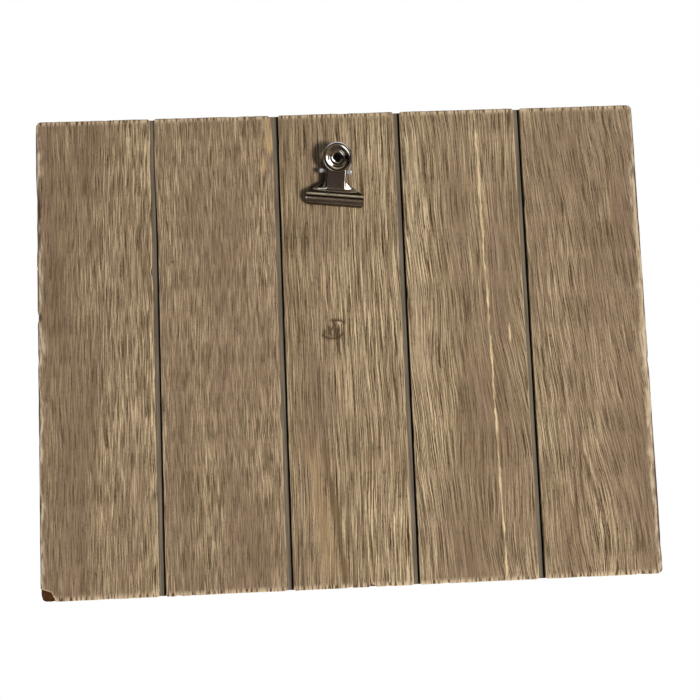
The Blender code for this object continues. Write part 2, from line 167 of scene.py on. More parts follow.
def smoothstep(value: float, low: float, high: float) -> float:
    """A soft step from 0 at low to 1 at high.

    Args:
        value: Where the step is read.
        low: Where it starts.
        high: Where it ends; it may lie below low for a falling step.

    Returns:
        A share of 0 to 1.
    """
    share = min(max((value - low) / (high - low), 0.0), 1.0)
    return share * share * (3.0 - 2.0 * share)


def piece(name: str, mesh: bpy.types.Mesh) -> bpy.types.Object:
    """Links a mesh into the scene as a piece whose place is in its vertices.

    Args:
        name: Name of the piece.
        mesh: Its mesh.

    Returns:
        The new object.
    """
    made = bpy.data.objects.new(name, mesh)
    bpy.context.scene.collection.objects.link(made)
    return made


def baked(thing: bpy.types.Object, matrix: Matrix, sharp: float) -> bpy.types.Mesh:
    """Applies an object's modifiers and place to a new mesh, shaded smooth but for its sharp edges.

    Args:
        thing: The object to read.
        matrix: The place that goes into the vertices.
        sharp: Edges that turn by more than this angle stay sharp.

    Returns:
        The finished mesh.
    """
    bpy.context.view_layer.update()
    graph = bpy.context.evaluated_depsgraph_get()
    mesh = bpy.data.meshes.new_from_object(thing.evaluated_get(graph))
    mesh.transform(matrix)
    mesh.shade_smooth()
    mesh.set_sharp_from_angle(angle=sharp)
    return mesh


def lathe(profile: Sequence[Point], steps: int) -> bmesh.types.BMesh:
    """Turns a half profile about the Z axis.

    Args:
        profile: Points of radius and height.
        steps: Number of steps round the turn.

    Returns:
        The turned surface; a radius of zero closes it.
    """
    shape = bmesh.new()
    rings = []
    for radius, height in profile:
        count = steps if radius > 0.0 else 1
        angles = [2 * math.pi * index / count for index in range(count)]
        rings.append([shape.verts.new((radius * math.cos(a), radius * math.sin(a), height)) for a in angles])
    for low, high in zip(rings, rings[1:]):
        for index in range(steps):
            corners = [low[index % len(low)], low[(index + 1) % len(low)],
                       high[(index + 1) % len(high)], high[index % len(high)]]
            shape.faces.new(list(dict.fromkeys(corners)))
    bmesh.ops.recalc_face_normals(shape, faces=shape.faces)
    return shape


def solid(name: str, shape: bmesh.types.BMesh, place: Matrix, sharp: float) -> bpy.types.Object:
    """Makes a piece of a finished shape.

    Args:
        name: Name of the piece.
        shape: The shape, which is used up.
        place: The place that goes into its vertices.
        sharp: Edges that turn by more than this angle stay sharp.

    Returns:
        The piece.
    """
    mesh = bpy.data.meshes.new(name)
    shape.to_mesh(mesh)
    shape.free()
    mesh.transform(place)
    mesh.shade_smooth()
    mesh.set_sharp_from_angle(angle=sharp)
    return piece(name, mesh)


class Bench:
    """Adds nodes to one shader tree and links them."""

    def __init__(self, tree: bpy.types.NodeTree) -> None:
        """Keeps the tree that the nodes go in."""
        self.tree = tree

    def node(self, kind: str, **settings: object) -> bpy.types.Node:
        """Adds a node.

        Args:
            kind: The node's type name.
            **settings: Properties to set on it.

        Returns:
            The node.
        """
        made = self.tree.nodes.new(kind)
        for name, value in settings.items():
            setattr(made, name, value)
        return made

    def feed(self, socket: bpy.types.NodeSocket, value: Value) -> None:
        """Gives an input its value or its link.

        Args:
            socket: The input.
            value: A plain value, a colour or the output to link from.
        """
        if isinstance(value, bpy.types.NodeSocket):
            self.tree.links.new(value, socket)
        elif socket.type == "RGBA":
            socket.default_value = (*value, 1.0)
        else:
            socket.default_value = value

    def math(self, operation: str, *values: Value) -> bpy.types.NodeSocket:
        """Adds a math node.

        Args:
            operation: The node's operation.
            *values: Its inputs, in order.

        Returns:
            The result.
        """
        made = self.node("ShaderNodeMath", operation=operation)
        for socket, value in zip(made.inputs, values):
            self.feed(socket, value)
        return made.outputs[0]

    def times(self, first: Value, *others: Value) -> Value:
        """Multiplies values.

        Args:
            first: First factor.
            *others: The other factors.

        Returns:
            The product.
        """
        for other in others:
            first = self.math("MULTIPLY", first, other)
        return first

    def gained(self, value: Value, share: Value, base: Value) -> bpy.types.NodeSocket:
        """A share of a value on top of a base."""
        return self.math("MULTIPLY_ADD", value, share, base)

    def largest(self, first: Value, *others: Value) -> Value:
        """Picks the largest of some values.

        Args:
            first: First value.
            *others: The other values.

        Returns:
            The largest.
        """
        for other in others:
            first = self.math("MAXIMUM", first, other)
        return first

    def vector(self, operation: str, first: Value, second: Value) -> bpy.types.NodeSocket:
        """Adds a vector math node.

        Args:
            operation: The node's operation.
            first: First vector.
            second: Second vector.

        Returns:
            The resulting vector.
        """
        made = self.node("ShaderNodeVectorMath", operation=operation)
        self.feed(made.inputs[0], first)
        self.feed(made.inputs[1], second)
        return made.outputs[0]

    def apart(self, vector: Value) -> Sockets:
        """Takes a vector apart.

        Args:
            vector: The vector.

        Returns:
            Its three parts, by the names X, Y and Z.
        """
        made = self.node("ShaderNodeSeparateXYZ")
        self.feed(made.inputs[0], vector)
        return {socket.name: socket for socket in made.outputs}

    def ramp(self, value: Value, low: Value, high: Value, bottom: Value = 0.0,
             top: Value = 1.0) -> bpy.types.NodeSocket:
        """A soft step between two levels.

        Args:
            value: Where the step is read.
            low: Where it starts.
            high: Where it ends.
            bottom: Level before the step.
            top: Level after it.

        Returns:
            The level.
        """
        made = self.node("ShaderNodeMapRange", interpolation_type="SMOOTHSTEP")
        for socket, given in zip(made.inputs, (value, low, high, bottom, top)):
            self.feed(socket, given)
        return made.outputs[0]

    def mix(self, factor: Value, first: Value, second: Value) -> bpy.types.NodeSocket:
        """Mixes two colours.

        Args:
            factor: Share of the second colour.
            first: First colour.
            second: Second colour.

        Returns:
            The mixed colour.
        """
        made = self.node("ShaderNodeMix", data_type="RGBA", clamp_factor=True)
        for index, given in ((0, factor), (6, first), (7, second)):
            self.feed(made.inputs[index], given)
        return made.outputs[2]

    def noise(self, place: Value, scale: Triple, detail: float) -> bpy.types.NodeSocket:
        """Noise stretched along the axes.

        Args:
            place: Where it is read, millimetres.
            scale: Features per millimetre along each axis.
            detail: Octaves of the noise.

        Returns:
            A value about 0.5.
        """
        made = self.node("ShaderNodeTexNoise")
        self.feed(made.inputs["Vector"], self.vector("MULTIPLY", place, scale))
        made.inputs["Scale"].default_value = 1.0
        made.inputs["Detail"].default_value = detail
        return made.outputs[0]

    def swing(self, place: Value, scale: Triple, detail: float) -> bpy.types.NodeSocket:
        """The same noise, about zero."""
        return self.math("SUBTRACT", self.noise(place, scale, detail), 0.5)

    def attribute(self, name: str) -> bpy.types.NodeSocket:
        """A value stored on the mesh's points."""
        return self.node("ShaderNodeAttribute", attribute_name=name).outputs["Fac"]

    def coordinate(self, kind: str) -> bpy.types.NodeSocket:
        """A texture coordinate, such as the place in the object or the normal."""
        return self.node("ShaderNodeTexCoord").outputs[kind]

    def place(self) -> bpy.types.NodeSocket:
        """Reads where on the piece a point is.

        Returns:
            The place, in millimetres from the board's middle.
        """
        low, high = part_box("backing_panel")
        offset = self.vector("SUBTRACT", self.coordinate("Object"), (0.0, 0.0, (low.z + high.z) / 2))
        return self.vector("MULTIPLY", offset, (1 / MM, 1 / MM, 1 / MM))

    def group(self, tree: bpy.types.NodeTree, **inputs: Value) -> Sockets:
        """Places a node group.

        Args:
            tree: The group.
            **inputs: Its inputs by name.

        Returns:
            The group's outputs by name.
        """
        made = self.node("ShaderNodeGroup")
        made.node_tree = tree
        for name, value in inputs.items():
            self.feed(made.inputs[name], value)
        return {socket.name: socket for socket in made.outputs}

    def bump(self, height: Value, depth: float, strength: float = 1.0) -> bpy.types.NodeSocket:
        """A bumped normal.

        Args:
            height: The relief, 0 to 1.
            depth: Depth of the relief, millimetres.
            strength: How strongly it shows.

        Returns:
            The normal.
        """
        made = self.node("ShaderNodeBump")
        made.inputs["Strength"].default_value = strength
        made.inputs["Distance"].default_value = depth * MM
        self.feed(made.inputs["Height"], height)
        return made.outputs[0]


@dataclass(frozen=True)
class Pattern:
    """Stretched noise, cut into a mask between two of its values."""

    scale: Triple
    step: Point
    levels: Point = (0.0, 1.0)
    detail: float = 1.0

    def mask(self, bench: Bench, place: Value) -> bpy.types.NodeSocket:
        """The mask at a place."""
        return bench.ramp(bench.noise(place, self.scale, self.detail), *self.step, *self.levels)


class GroupMaker:
    """Builds the shader node groups that several materials use. Scales are features per millimetre."""

    SEED_SHIFT: Triple = (37.1, 11.3, 71.7)
    SWAY_SCALE: Triple = (0.022, 0.0, 0.0085)
    SWING_GAIN = 4.0
    QUIVER_SCALE: Triple = (0.30, 0.0, 0.10)
    QUIVER_REACH = 1.1
    LINE_SCALE: Triple = (0.78, 0.0, 0.021)
    LINE_SIDES: Point = (0.12, 0.02)
    LINE_FADE = Pattern((0.42, 0.0, 0.034), (0.34, 0.60), (0.15, 1.0), detail=2.0)
    DARK_LINE_SHIFT: Triple = (173.0, 0.0, 51.0)
    PALE_FIBRE = Pattern((2.40, 0.0, 0.062), (0.49, 0.575))
    DARK_FIBRE = Pattern((2.60, 0.0, 0.076), (0.50, 0.41))
    GRIT = Pattern((1.70, 0.0, 0.80), (0.50, 0.36))
    BAND = Pattern((0.085, 0.0, 0.0055), (0.36, 0.64), detail=2.0)
    PORE = Pattern((2.3, 0.0, 0.26), (0.56, 0.68))
    PALE_SHARE = 0.98
    PALE_LINE_SHARE = 0.36
    DARK_SHARE = 0.88
    DARK_LINE_SHARE = 0.40
    GRIT_SHARE = 0.26
    FACE_LEVEL = 0.60
    STREAK_RISE = 0.25
    FURROW_RISE = -0.50
    PORE_RISE = -0.30
    WAVER_SCALE: Triple = (0.004, 0.0, 0.035)
    SHAKE_SCALE: Triple = (0.02, 0.0, 0.22)
    SHAKE_SHARE = 0.35
    SWELL = Pattern((0.01, 0.0, 0.10), (0.36, 0.64), (0.45, 1.35), detail=3.0)
    SPLINTERS = Pattern((0.9, 0.0, 0.11), (0.34, 0.58), (0.30, 1.0), detail=3.0)
    STRETCHES = Pattern((0.0, 0.0, 0.045), (0.36, 0.54), (0.40, 1.0), detail=2.0)
    SOFT_SIDE = 0.25
    WEAR_REACH = Pattern((0.16, 0.16, 0.06), (0.30, 0.70), (0.25, 1.5), detail=4.0)
    WEAR_SCALE: Triple = (0.07, 0.07, 0.035)
    WEAR_GATE = 0.68
    WEAR_GATE_DROP = 0.40
    WEAR_GATE_SIDES: Point = (0.10, 0.04)
    CLOUD = Pattern((0.02, 0.02, 0.02), (0.25, 0.75), detail=5.0)
    FLECK = Pattern((1.3, 1.3, 0.8), (0.50, 0.74), detail=3.0)
    FELT_SCALE: Triple = (1.6, 1.6, 1.1)
    SMUDGE = Pattern((0.22, 0.22, 0.22), (0.36, 0.68), detail=3.0)
    RUB_STRETCH: Triple = (1.0, 1.0, 0.12)
    RUB = Pattern((2.4, 2.4, 2.4), (0.30, 0.70), detail=3.0)
    RUB_RISE = 0.5
    SPECK = Pattern((1.3, 1.3, 1.3), (0.68, 0.78))

    @staticmethod
    def start(name: str, inputs: Sequence[str],
              outputs: Sequence[str]) -> tuple[Bench, Sockets, bpy.types.Node]:
        """Starts a group that reads a place and some values.

        Args:
            name: Name of the group.
            inputs: Names of its values, besides the place.
            outputs: Names of the outputs, each one value.

        Returns:
            The bench, the inputs' sockets by name, and the output node.
        """
        tree = bpy.data.node_groups.new(name, "ShaderNodeTree")
        tree.interface.new_socket(name="Place", in_out="INPUT", socket_type="NodeSocketVector")
        for way, labels in (("INPUT", inputs), ("OUTPUT", outputs)):
            for label in labels:
                tree.interface.new_socket(name=label, in_out=way, socket_type="NodeSocketFloat")
        bench = Bench(tree)
        given = bench.node("NodeGroupInput").outputs
        return bench, {label: given[label] for label in ("Place", *inputs)}, bench.node("NodeGroupOutput")

    @staticmethod
    def end(bench: Bench, out: bpy.types.Node, *values: Value) -> bpy.types.NodeTree:
        """Feeds the group's outputs.

        Args:
            bench: The group's bench.
            out: The output node.
            *values: One value for each output, in their order.

        Returns:
            The group.
        """
        for socket, value in zip(out.inputs, values):
            bench.feed(socket, value)
        return bench.tree

    @classmethod
    def brushed_grain(cls) -> bpy.types.NodeTree:
        """Long pale streaks, dark furrows, bands and pores along the grain.

        Returns:
            The group, with a mask for each of them and the face's height.
        """
        bench, given, out = cls.start("brushed_grain", ("Seed", "Wander", "Lean", "Short"),
                                      ("Streak", "Furrow", "Band", "Pore", "Height"))
        spread = bench.node("ShaderNodeCombineXYZ")
        for socket, factor in zip(spread.inputs, cls.SEED_SHIFT):
            bench.feed(socket, bench.times(given["Seed"], factor))
        moved = bench.vector("ADD", given["Place"], spread.outputs[0])
        apart = bench.apart(moved)
        sway = bench.times(bench.swing(moved, cls.SWAY_SCALE, detail=1.0), cls.SWING_GAIN, given["Wander"])
        leaned = bench.gained(apart["Z"], given["Lean"], apart["X"])
        leaned = bench.gained(bench.swing(moved, cls.QUIVER_SCALE, detail=2.0), cls.QUIVER_REACH, leaned)
        line = bench.node("ShaderNodeCombineXYZ")
        bench.feed(line.inputs["X"], bench.math("ADD", leaned, sway))
        bench.feed(line.inputs["Z"], bench.times(apart["Z"], given["Short"]))
        along = line.outputs[0]
        lines = []
        for place in (along, bench.vector("ADD", along, cls.DARK_LINE_SHIFT)):
            off = bench.math("ABSOLUTE", bench.swing(place, cls.LINE_SCALE, detail=1.0))
            lines.append(bench.times(bench.ramp(off, *cls.LINE_SIDES), cls.LINE_FADE.mask(bench, place)))
        patterns = (cls.PALE_FIBRE, cls.DARK_FIBRE, cls.GRIT, cls.BAND, cls.PORE)
        pale, dark, grit, band, pore = (pattern.mask(bench, along) for pattern in patterns)
        streak = bench.gained(pale, cls.PALE_SHARE, bench.times(lines[0], cls.PALE_LINE_SHARE))
        furrow = bench.gained(dark, cls.DARK_SHARE, bench.times(lines[1], cls.DARK_LINE_SHARE))
        furrow = bench.gained(grit, cls.GRIT_SHARE, furrow)
        height = bench.gained(furrow, cls.FURROW_RISE, cls.FACE_LEVEL)
        height = bench.gained(streak, cls.STREAK_RISE, height)
        height = bench.gained(pore, cls.PORE_RISE, height)
        return cls.end(bench, out, streak, furrow, band, pore, height)

    @classmethod
    def grain_stroke(cls) -> bpy.types.NodeTree:
        """One long stroke along the grain, with soft ends and a wavering line.

        Returns:
            The group, with the stroke's mask.
        """
        inputs = ("Across", "Lean", "From", "To", "Width", "Waver", "Fade", "Gaps")
        bench, given, out = cls.start("grain_stroke", inputs, ("Mask",))
        place = given["Place"]
        apart = bench.apart(place)
        waver = bench.swing(place, cls.WAVER_SCALE, detail=3.0)
        waver = bench.gained(bench.swing(place, cls.SHAKE_SCALE, detail=2.0), cls.SHAKE_SHARE, waver)
        waver = bench.times(waver, cls.SWING_GAIN, given["Waver"])
        middle = bench.math("ADD", bench.gained(apart["Z"], given["Lean"], given["Across"]), waver)
        away = bench.math("ABSOLUTE", bench.math("SUBTRACT", apart["X"], middle))
        width = bench.times(given["Width"], cls.SWELL.mask(bench, place))
        body = bench.ramp(away, width, bench.times(width, cls.SOFT_SIDE))
        low = bench.ramp(apart["Z"], given["From"], bench.math("ADD", given["From"], given["Fade"]))
        high = bench.ramp(apart["Z"], given["To"], bench.math("SUBTRACT", given["To"], given["Fade"]))
        whole = bench.times(cls.SPLINTERS.mask(bench, place), cls.STRETCHES.mask(bench, place))
        broken = bench.times(bench.math("SUBTRACT", 1.0, whole), given["Gaps"])
        kept = bench.times(body, bench.math("SUBTRACT", 1.0, broken))
        return cls.end(bench, out, bench.times(kept, bench.times(low, high)))

    @classmethod
    def edge_wear(cls) -> bpy.types.NodeTree:
        """Wear that follows an edge and breaks up along it.

        Returns:
            The group, with the wear's mask.
        """
        bench, given, out = cls.start("edge_wear", ("Distance", "Reach", "Cover"), ("Mask",))
        reach = bench.times(cls.WEAR_REACH.mask(bench, given["Place"]), given["Reach"])
        near = bench.ramp(given["Distance"], reach, bench.times(reach, cls.SOFT_SIDE))
        gate = bench.math("SUBTRACT", cls.WEAR_GATE, bench.times(given["Cover"], cls.WEAR_GATE_DROP))
        below, above = cls.WEAR_GATE_SIDES
        cover = bench.ramp(bench.noise(given["Place"], cls.WEAR_SCALE, detail=3.0),
                           bench.math("SUBTRACT", gate, below), bench.math("ADD", gate, above))
        return cls.end(bench, out, bench.times(near, cover))

    @classmethod
    def fibre_mottle(cls) -> bpy.types.NodeTree:
        """Pressed wood fibre: soft clouds, small flecks and a felted relief.

        Returns:
            The group, with masks for the clouds and flecks and the height.
        """
        bench, given, out = cls.start("fibre_mottle", (), ("Cloud", "Fleck", "Height"))
        cloud, fleck = (pattern.mask(bench, given["Place"]) for pattern in (cls.CLOUD, cls.FLECK))
        return cls.end(bench, out, cloud, fleck, bench.noise(given["Place"], cls.FELT_SCALE, detail=3.0))

    @classmethod
    def metal_marks(cls) -> bpy.types.NodeTree:
        """Plated metal: smudges, fine rubbed lines and specks.

        Returns:
            The group, with a mask for each of them and the height.
        """
        bench, given, out = cls.start("metal_marks", ("Grain",), ("Smudge", "Rub", "Speck", "Height"))
        smudge, speck = (pattern.mask(bench, given["Place"]) for pattern in (cls.SMUDGE, cls.SPECK))
        lines = bench.node("ShaderNodeVectorMath", operation="SCALE")
        bench.feed(lines.inputs[0], bench.vector("MULTIPLY", given["Place"], cls.RUB_STRETCH))
        bench.feed(lines.inputs["Scale"], given["Grain"])
        rub = cls.RUB.mask(bench, lines.outputs[0])
        height = bench.math("SUBTRACT", bench.times(rub, cls.RUB_RISE), speck)
        return cls.end(bench, out, smudge, rub, speck, height)


class Effects:
    """The shared node groups, each built once."""

    def __init__(self) -> None:
        """Builds every group."""
        self.grain = GroupMaker.brushed_grain()
        self.stroke = GroupMaker.grain_stroke()
        self.wear = GroupMaker.edge_wear()
        self.mottle = GroupMaker.fibre_mottle()
        self.marks = GroupMaker.metal_marks()


def blank_material(name: str) -> tuple[bpy.types.Material, Bench, bpy.types.Node]:
    """Starts a material.

    Args:
        name: Name of the material.

    Returns:
        The material, a bench on its tree, and its Principled shader.
    """
    material = bpy.data.materials.new(name)
    material.use_nodes = True
    return material, Bench(material.node_tree), material.node_tree.nodes["Principled BSDF"]


@dataclass(frozen=True)
class Stroke:
    """A long stroke along the grain, in millimetres on the board."""

    kind: StrokeKind
    across: float
    lean: float
    low: float
    high: float
    width: float
    waver: float = 0.8
    strength: float = 0.8
    fade: float = 8.0
    gaps: float = 1.0


@dataclass(frozen=True)
class Chip:
    """Wood lost from a slat's side, or left standing where the depth is negative. In millimetres."""

    side: Side
    middle: float
    half: float
    depth: float
    dark: float = 0.0
    grid_spread: float = 2.2
    grid_steps: int = 3
    least_step: float = 0.4

    def share(self, along: float) -> float:
        """How much of the chip's depth is found at a place along its side."""
        return math.exp(-((along - self.middle) / self.half) ** 4)

    def upright(self) -> bool:
        """Whether the chip's side runs up the board."""
        return self.side in (Side.LEFT, Side.RIGHT)

    def spot(self, start: float) -> Triple:
        """Middle, half length and step of its closer grid lines, from its side's start."""
        step = max(self.half / self.grid_steps, self.least_step)
        return self.middle - start, self.half * self.grid_spread, step


@dataclass(frozen=True)
class SlatFigure:
    """How one slat's wood differs from the others.

    Lime is given at the left, the middle and the right. Corners are the radii at the lower left, lower right,
    upper left and upper right. Outer is -1 or 1 where the left or right side is the board's own, or else 0.
    """

    node: str
    seed: float
    lime: Triple
    warmth: float
    wander: float
    comb: float = 1.0
    short: float = 1.0
    lean: float = 0.0
    pores: float = 0.5
    corners: tuple[float, float, float, float] = (1.2, 1.2, 1.2, 1.2)
    outer: int = 0
    strokes: tuple[Stroke, ...] = ()
    chips: tuple[Chip, ...] = ()
    stained: float = 0.75

    def lime_at(self, share: float) -> float:
        """How much lime the slat holds across its width.

        Args:
            share: Share of the width, from the left.

        Returns:
            The level, 0 to 1.
        """
        left, middle, right = self.lime
        if share < 0.5:
            return left + (middle - left) * share * 2
        return middle + (right - middle) * (share * 2 - 1)


@dataclass(frozen=True)
class LimedWood:
    """Thin sawn wood, wire-brushed, limed and worn pale along its edges. Reaches are in millimetres."""

    pink: Colour = tone(137, 114, 92)
    olive: Colour = tone(136, 116, 86)
    dark: Colour = tone(106, 86, 60)
    deep: Colour = tone(60, 42, 20)
    wash: Colour = tone(166, 144, 108)
    cream: Colour = tone(229, 204, 166)
    butter: Colour = tone(234, 209, 163)
    pale: Colour = tone(206, 184, 150)
    warm: Colour = tone(166, 138, 100)
    amber: Colour = tone(212, 176, 124)
    scuff: Colour = tone(212, 193, 164)
    pore: Colour = tone(76, 56, 34)
    end_pale: Colour = tone(206, 183, 152)
    stain: Colour = tone(66, 46, 31)
    broken: Colour = tone(70, 42, 19)
    side: Colour = tone(104, 84, 62)
    coolness: float = 0.85
    lime_warmth: float = 1.1
    band_warmth: float = 0.45
    shade: Pattern = Pattern((0.09, 0.0, 0.008), (0.44, 0.70), (0.0, 0.38), detail=2.0)
    wash_share: float = 0.20
    comb_bare: float = 0.52
    comb_limed: float = 0.34
    tick_scale: Triple = (0.80, 0.0, 0.05)
    bleach_reach: Point = (3.6, 0.4)
    bleach_step: Point = (0.42, 0.58)
    nick_reach: Point = (3.0, 0.8)
    nick_step: Point = (0.47, 0.38)
    # Painted shadow along the upper ends of the slats.
    top_shadow_reach: Point = (0.75, 0.40)
    top_shadow_height: Point = (0.0, 8.0)
    top_shadow_share: float = 0.75
    rub_reach: float = 0.9
    rub_cover: float = 0.50
    rub_share: float = 0.60
    scuff_reach: float = 4.4
    scuff_cover: float = 0.85
    scuff_flecks: Pattern = Pattern((0.90, 0.0, 0.13), (0.40, 0.58), (0.10, 0.85), detail=3.0)
    stain_reach: float = 1.3
    scar_share: float = 0.90
    roughness: float = 0.68
    streak_roughness: float = 0.10
    shine: float = 0.30
    relief: float = 0.09
    relief_strength: float = 0.8

    def material(self, figure: SlatFigure, effects: Effects) -> bpy.types.Material:
        """Builds the material of one slat.

        Args:
            figure: The slat's own values.
            effects: The shared node groups.

        Returns:
            The material.
        """
        material, bench, shader = blank_material("limed_wood_" + figure.node)
        place = bench.place()
        grain = bench.group(effects.grain, Place=place, Seed=figure.seed, Wander=figure.wander,
                            Lean=figure.lean, Short=figure.short)
        lime = bench.attribute("lime")
        warmth = bench.gained(lime, self.lime_warmth, figure.warmth - self.coolness)
        colour = bench.mix(bench.gained(grain["Band"], self.band_warmth, warmth), self.pink, self.olive)
        combed = bench.gained(lime, self.comb_limed * figure.comb, self.comb_bare * figure.comb)
        for share, over in (
            (self.shade.mask(bench, place), self.dark),
            (bench.times(lime, self.wash_share), self.wash),
            (bench.times(grain["Streak"], lime), self.cream),
            (bench.times(grain["Furrow"], combed), self.deep),
            (bench.times(grain["Pore"], figure.pores), self.pore),
        ):
            colour = bench.mix(share, colour, over)
        colour = self.stroked(bench, place, figure, effects, colour)
        colour = self.worn(bench, place, figure, effects, colour)
        bench.feed(shader.inputs["Base Color"], colour)
        rough = bench.gained(grain["Streak"], self.streak_roughness, self.roughness)
        bench.feed(shader.inputs["Roughness"], rough)
        shader.inputs["Specular IOR Level"].default_value = self.shine
        bench.feed(shader.inputs["Normal"], bench.bump(grain["Height"], self.relief, self.relief_strength))
        return material

    def stroked(self, bench: Bench, place: Value, figure: SlatFigure, effects: Effects,
                colour: Value) -> Value:
        """Lays the slat's own strokes over its colour.

        Args:
            bench: The material's bench.
            place: Place on the board.
            figure: The slat's own values.
            effects: The shared node groups.
            colour: The colour so far.

        Returns:
            The colour with the strokes.
        """
        inks = {StrokeKind.PALE: self.pale, StrokeKind.DARK: self.dark, StrokeKind.WARM: self.warm,
                StrokeKind.AMBER: self.amber, StrokeKind.CREAM: self.butter, StrokeKind.DOT: self.stain}
        for stroke in figure.strokes:
            laid = bench.group(
                effects.stroke, Place=place, Across=stroke.across, Lean=stroke.lean, From=stroke.low,
                To=stroke.high, Width=stroke.width, Waver=stroke.waver, Fade=stroke.fade, Gaps=stroke.gaps,
            )
            colour = bench.mix(bench.times(laid["Mask"], stroke.strength), colour, inks[stroke.kind])
        return colour

    def worn(self, bench: Bench, place: Value, figure: SlatFigure, effects: Effects, colour: Value) -> Value:
        """Adds pale ends and edges, dark stains, a painted shadow along the upper ends, knocks and the broken
        corner.

        Args:
            bench: The material's bench.
            place: Place on the board.
            figure: The slat's own values.
            effects: The shared node groups.
            colour: The colour so far.

        Returns:
            The worn colour.
        """
        edge, end, rim = (bench.attribute(name) for name in ("edge", "end", "rim"))
        ticks = bench.noise(place, self.tick_scale, detail=3.0)
        bleached = bench.times(bench.ramp(end, *self.bleach_reach), bench.ramp(ticks, *self.bleach_step))
        nicked = bench.times(bench.ramp(end, *self.nick_reach), bench.ramp(ticks, *self.nick_step))
        # Painted shadow: a thin dark line along the upper ends of the slats.
        top_shadow = bench.times(bench.ramp(end, *self.top_shadow_reach),
                            bench.ramp(bench.apart(place)["Z"], *self.top_shadow_height))
        rubbed, scuffed, stained = (
            bench.group(effects.wear, Place=place, Distance=distance, Reach=reach, Cover=cover)["Mask"]
            for distance, reach, cover in (
                (edge, self.rub_reach, self.rub_cover), (rim, self.scuff_reach, self.scuff_cover),
                (rim, self.stain_reach, figure.stained),
            )
        )
        felt = bench.group(effects.mottle, Place=place)
        for share, over in (
            (bleached, self.end_pale),
            (nicked, self.pore),
            # painted shadow along the upper ends, in the stain's colour
            (bench.times(top_shadow, self.top_shadow_share), self.stain),
            (bench.times(rubbed, self.rub_share), self.pale),
            (bench.times(scuffed, self.scuff_flecks.mask(bench, place)), self.scuff),
            (stained, self.stain),
            (bench.attribute("flake"), self.pale),
            (bench.times(bench.attribute("scar"), self.scar_share), self.stain),
            (bench.attribute("side"), self.side),
            (bench.attribute("broken"), bench.mix(felt["Fleck"], self.broken, self.stain)),
        ):
            colour = bench.mix(share, colour, over)
        return colour


@dataclass(frozen=True)
class Fibreboard:
    """Dark pressed fibreboard, with a grey wash in each gap of its front and a painted shadow line along each
    gap's right side. In millimetres.
    """

    raw: Colour = tone(92, 66, 44)
    deep: Colour = tone(74, 52, 34)
    fleck: Colour = tone(122, 92, 64)
    wash: Colour = tone(122, 111, 95)
    wash_dark: Colour = tone(98, 89, 76)
    # Colour of the painted shadow line in each gap.
    gap_shadow: Colour = tone(20, 14, 10)
    fleck_share: float = 0.55
    shadow_line_width: float = 0.95
    shadow_line_narrowing: float = 0.0035
    shadow_line_softness: float = 0.2
    past_gap: Point = (1.2, 0.4)
    behind_front: Point = (0.6, 0.2)
    wash_streaks: Pattern = Pattern((0.9, 0.0, 0.03), (0.36, 0.64), detail=3.0)
    roughness: float = 0.78
    cloud_roughness: float = 0.12
    shine: float = 0.25
    relief: float = 0.08

    def material(self, gaps: Sequence[Point], front: float, effects: Effects) -> bpy.types.Material:
        """Builds the material.

        Args:
            gaps: Left and right side of each gap between slats, millimetres.
            front: Depth of the panel's front, millimetres.
            effects: The shared node groups.

        Returns:
            The material.
        """
        material, bench, shader = blank_material("fibreboard")
        place = bench.place()
        mottle = bench.group(effects.mottle, Place=place)
        raw = bench.mix(mottle["Cloud"], self.deep, self.raw)
        raw = bench.mix(bench.times(mottle["Fleck"], self.fleck_share), raw, self.fleck)
        apart = bench.apart(place)
        far, near = self.past_gap
        in_gap: Value = 0.0
        in_gap_shadow: Value = 0.0
        # Painted shadow: a dark line along the right side of each gap, where the right slat's edge shades the
        # groove; it narrows towards the right of the board.
        for left, right in gaps:
            line = right - (self.shadow_line_width - self.shadow_line_narrowing * right)
            dark = bench.ramp(apart["X"], line - self.shadow_line_softness, line + self.shadow_line_softness)
            right_of = bench.ramp(apart["X"], left - far, left - near)
            left_of = bench.ramp(apart["X"], right + far, right + near)
            in_gap_shadow = bench.largest(in_gap_shadow, bench.times(dark, left_of))
            in_gap = bench.largest(in_gap, bench.times(right_of, left_of))
        on_front = bench.ramp(apart["Y"], *(front + depth for depth in self.behind_front))
        wash = bench.mix(self.wash_streaks.mask(bench, place), self.wash_dark, self.wash)
        wash = bench.mix(in_gap_shadow, wash, self.gap_shadow)
        bench.feed(shader.inputs["Base Color"], bench.mix(bench.times(in_gap, on_front), raw, wash))
        rough = bench.gained(mottle["Cloud"], self.cloud_roughness, self.roughness)
        bench.feed(shader.inputs["Roughness"], rough)
        shader.inputs["Specular IOR Level"].default_value = self.shine
        bench.feed(shader.inputs["Normal"], bench.bump(mottle["Height"], self.relief))
        return material


BLACK_STEEL_TONE: Colour = (0.010, 0.009, 0.008)


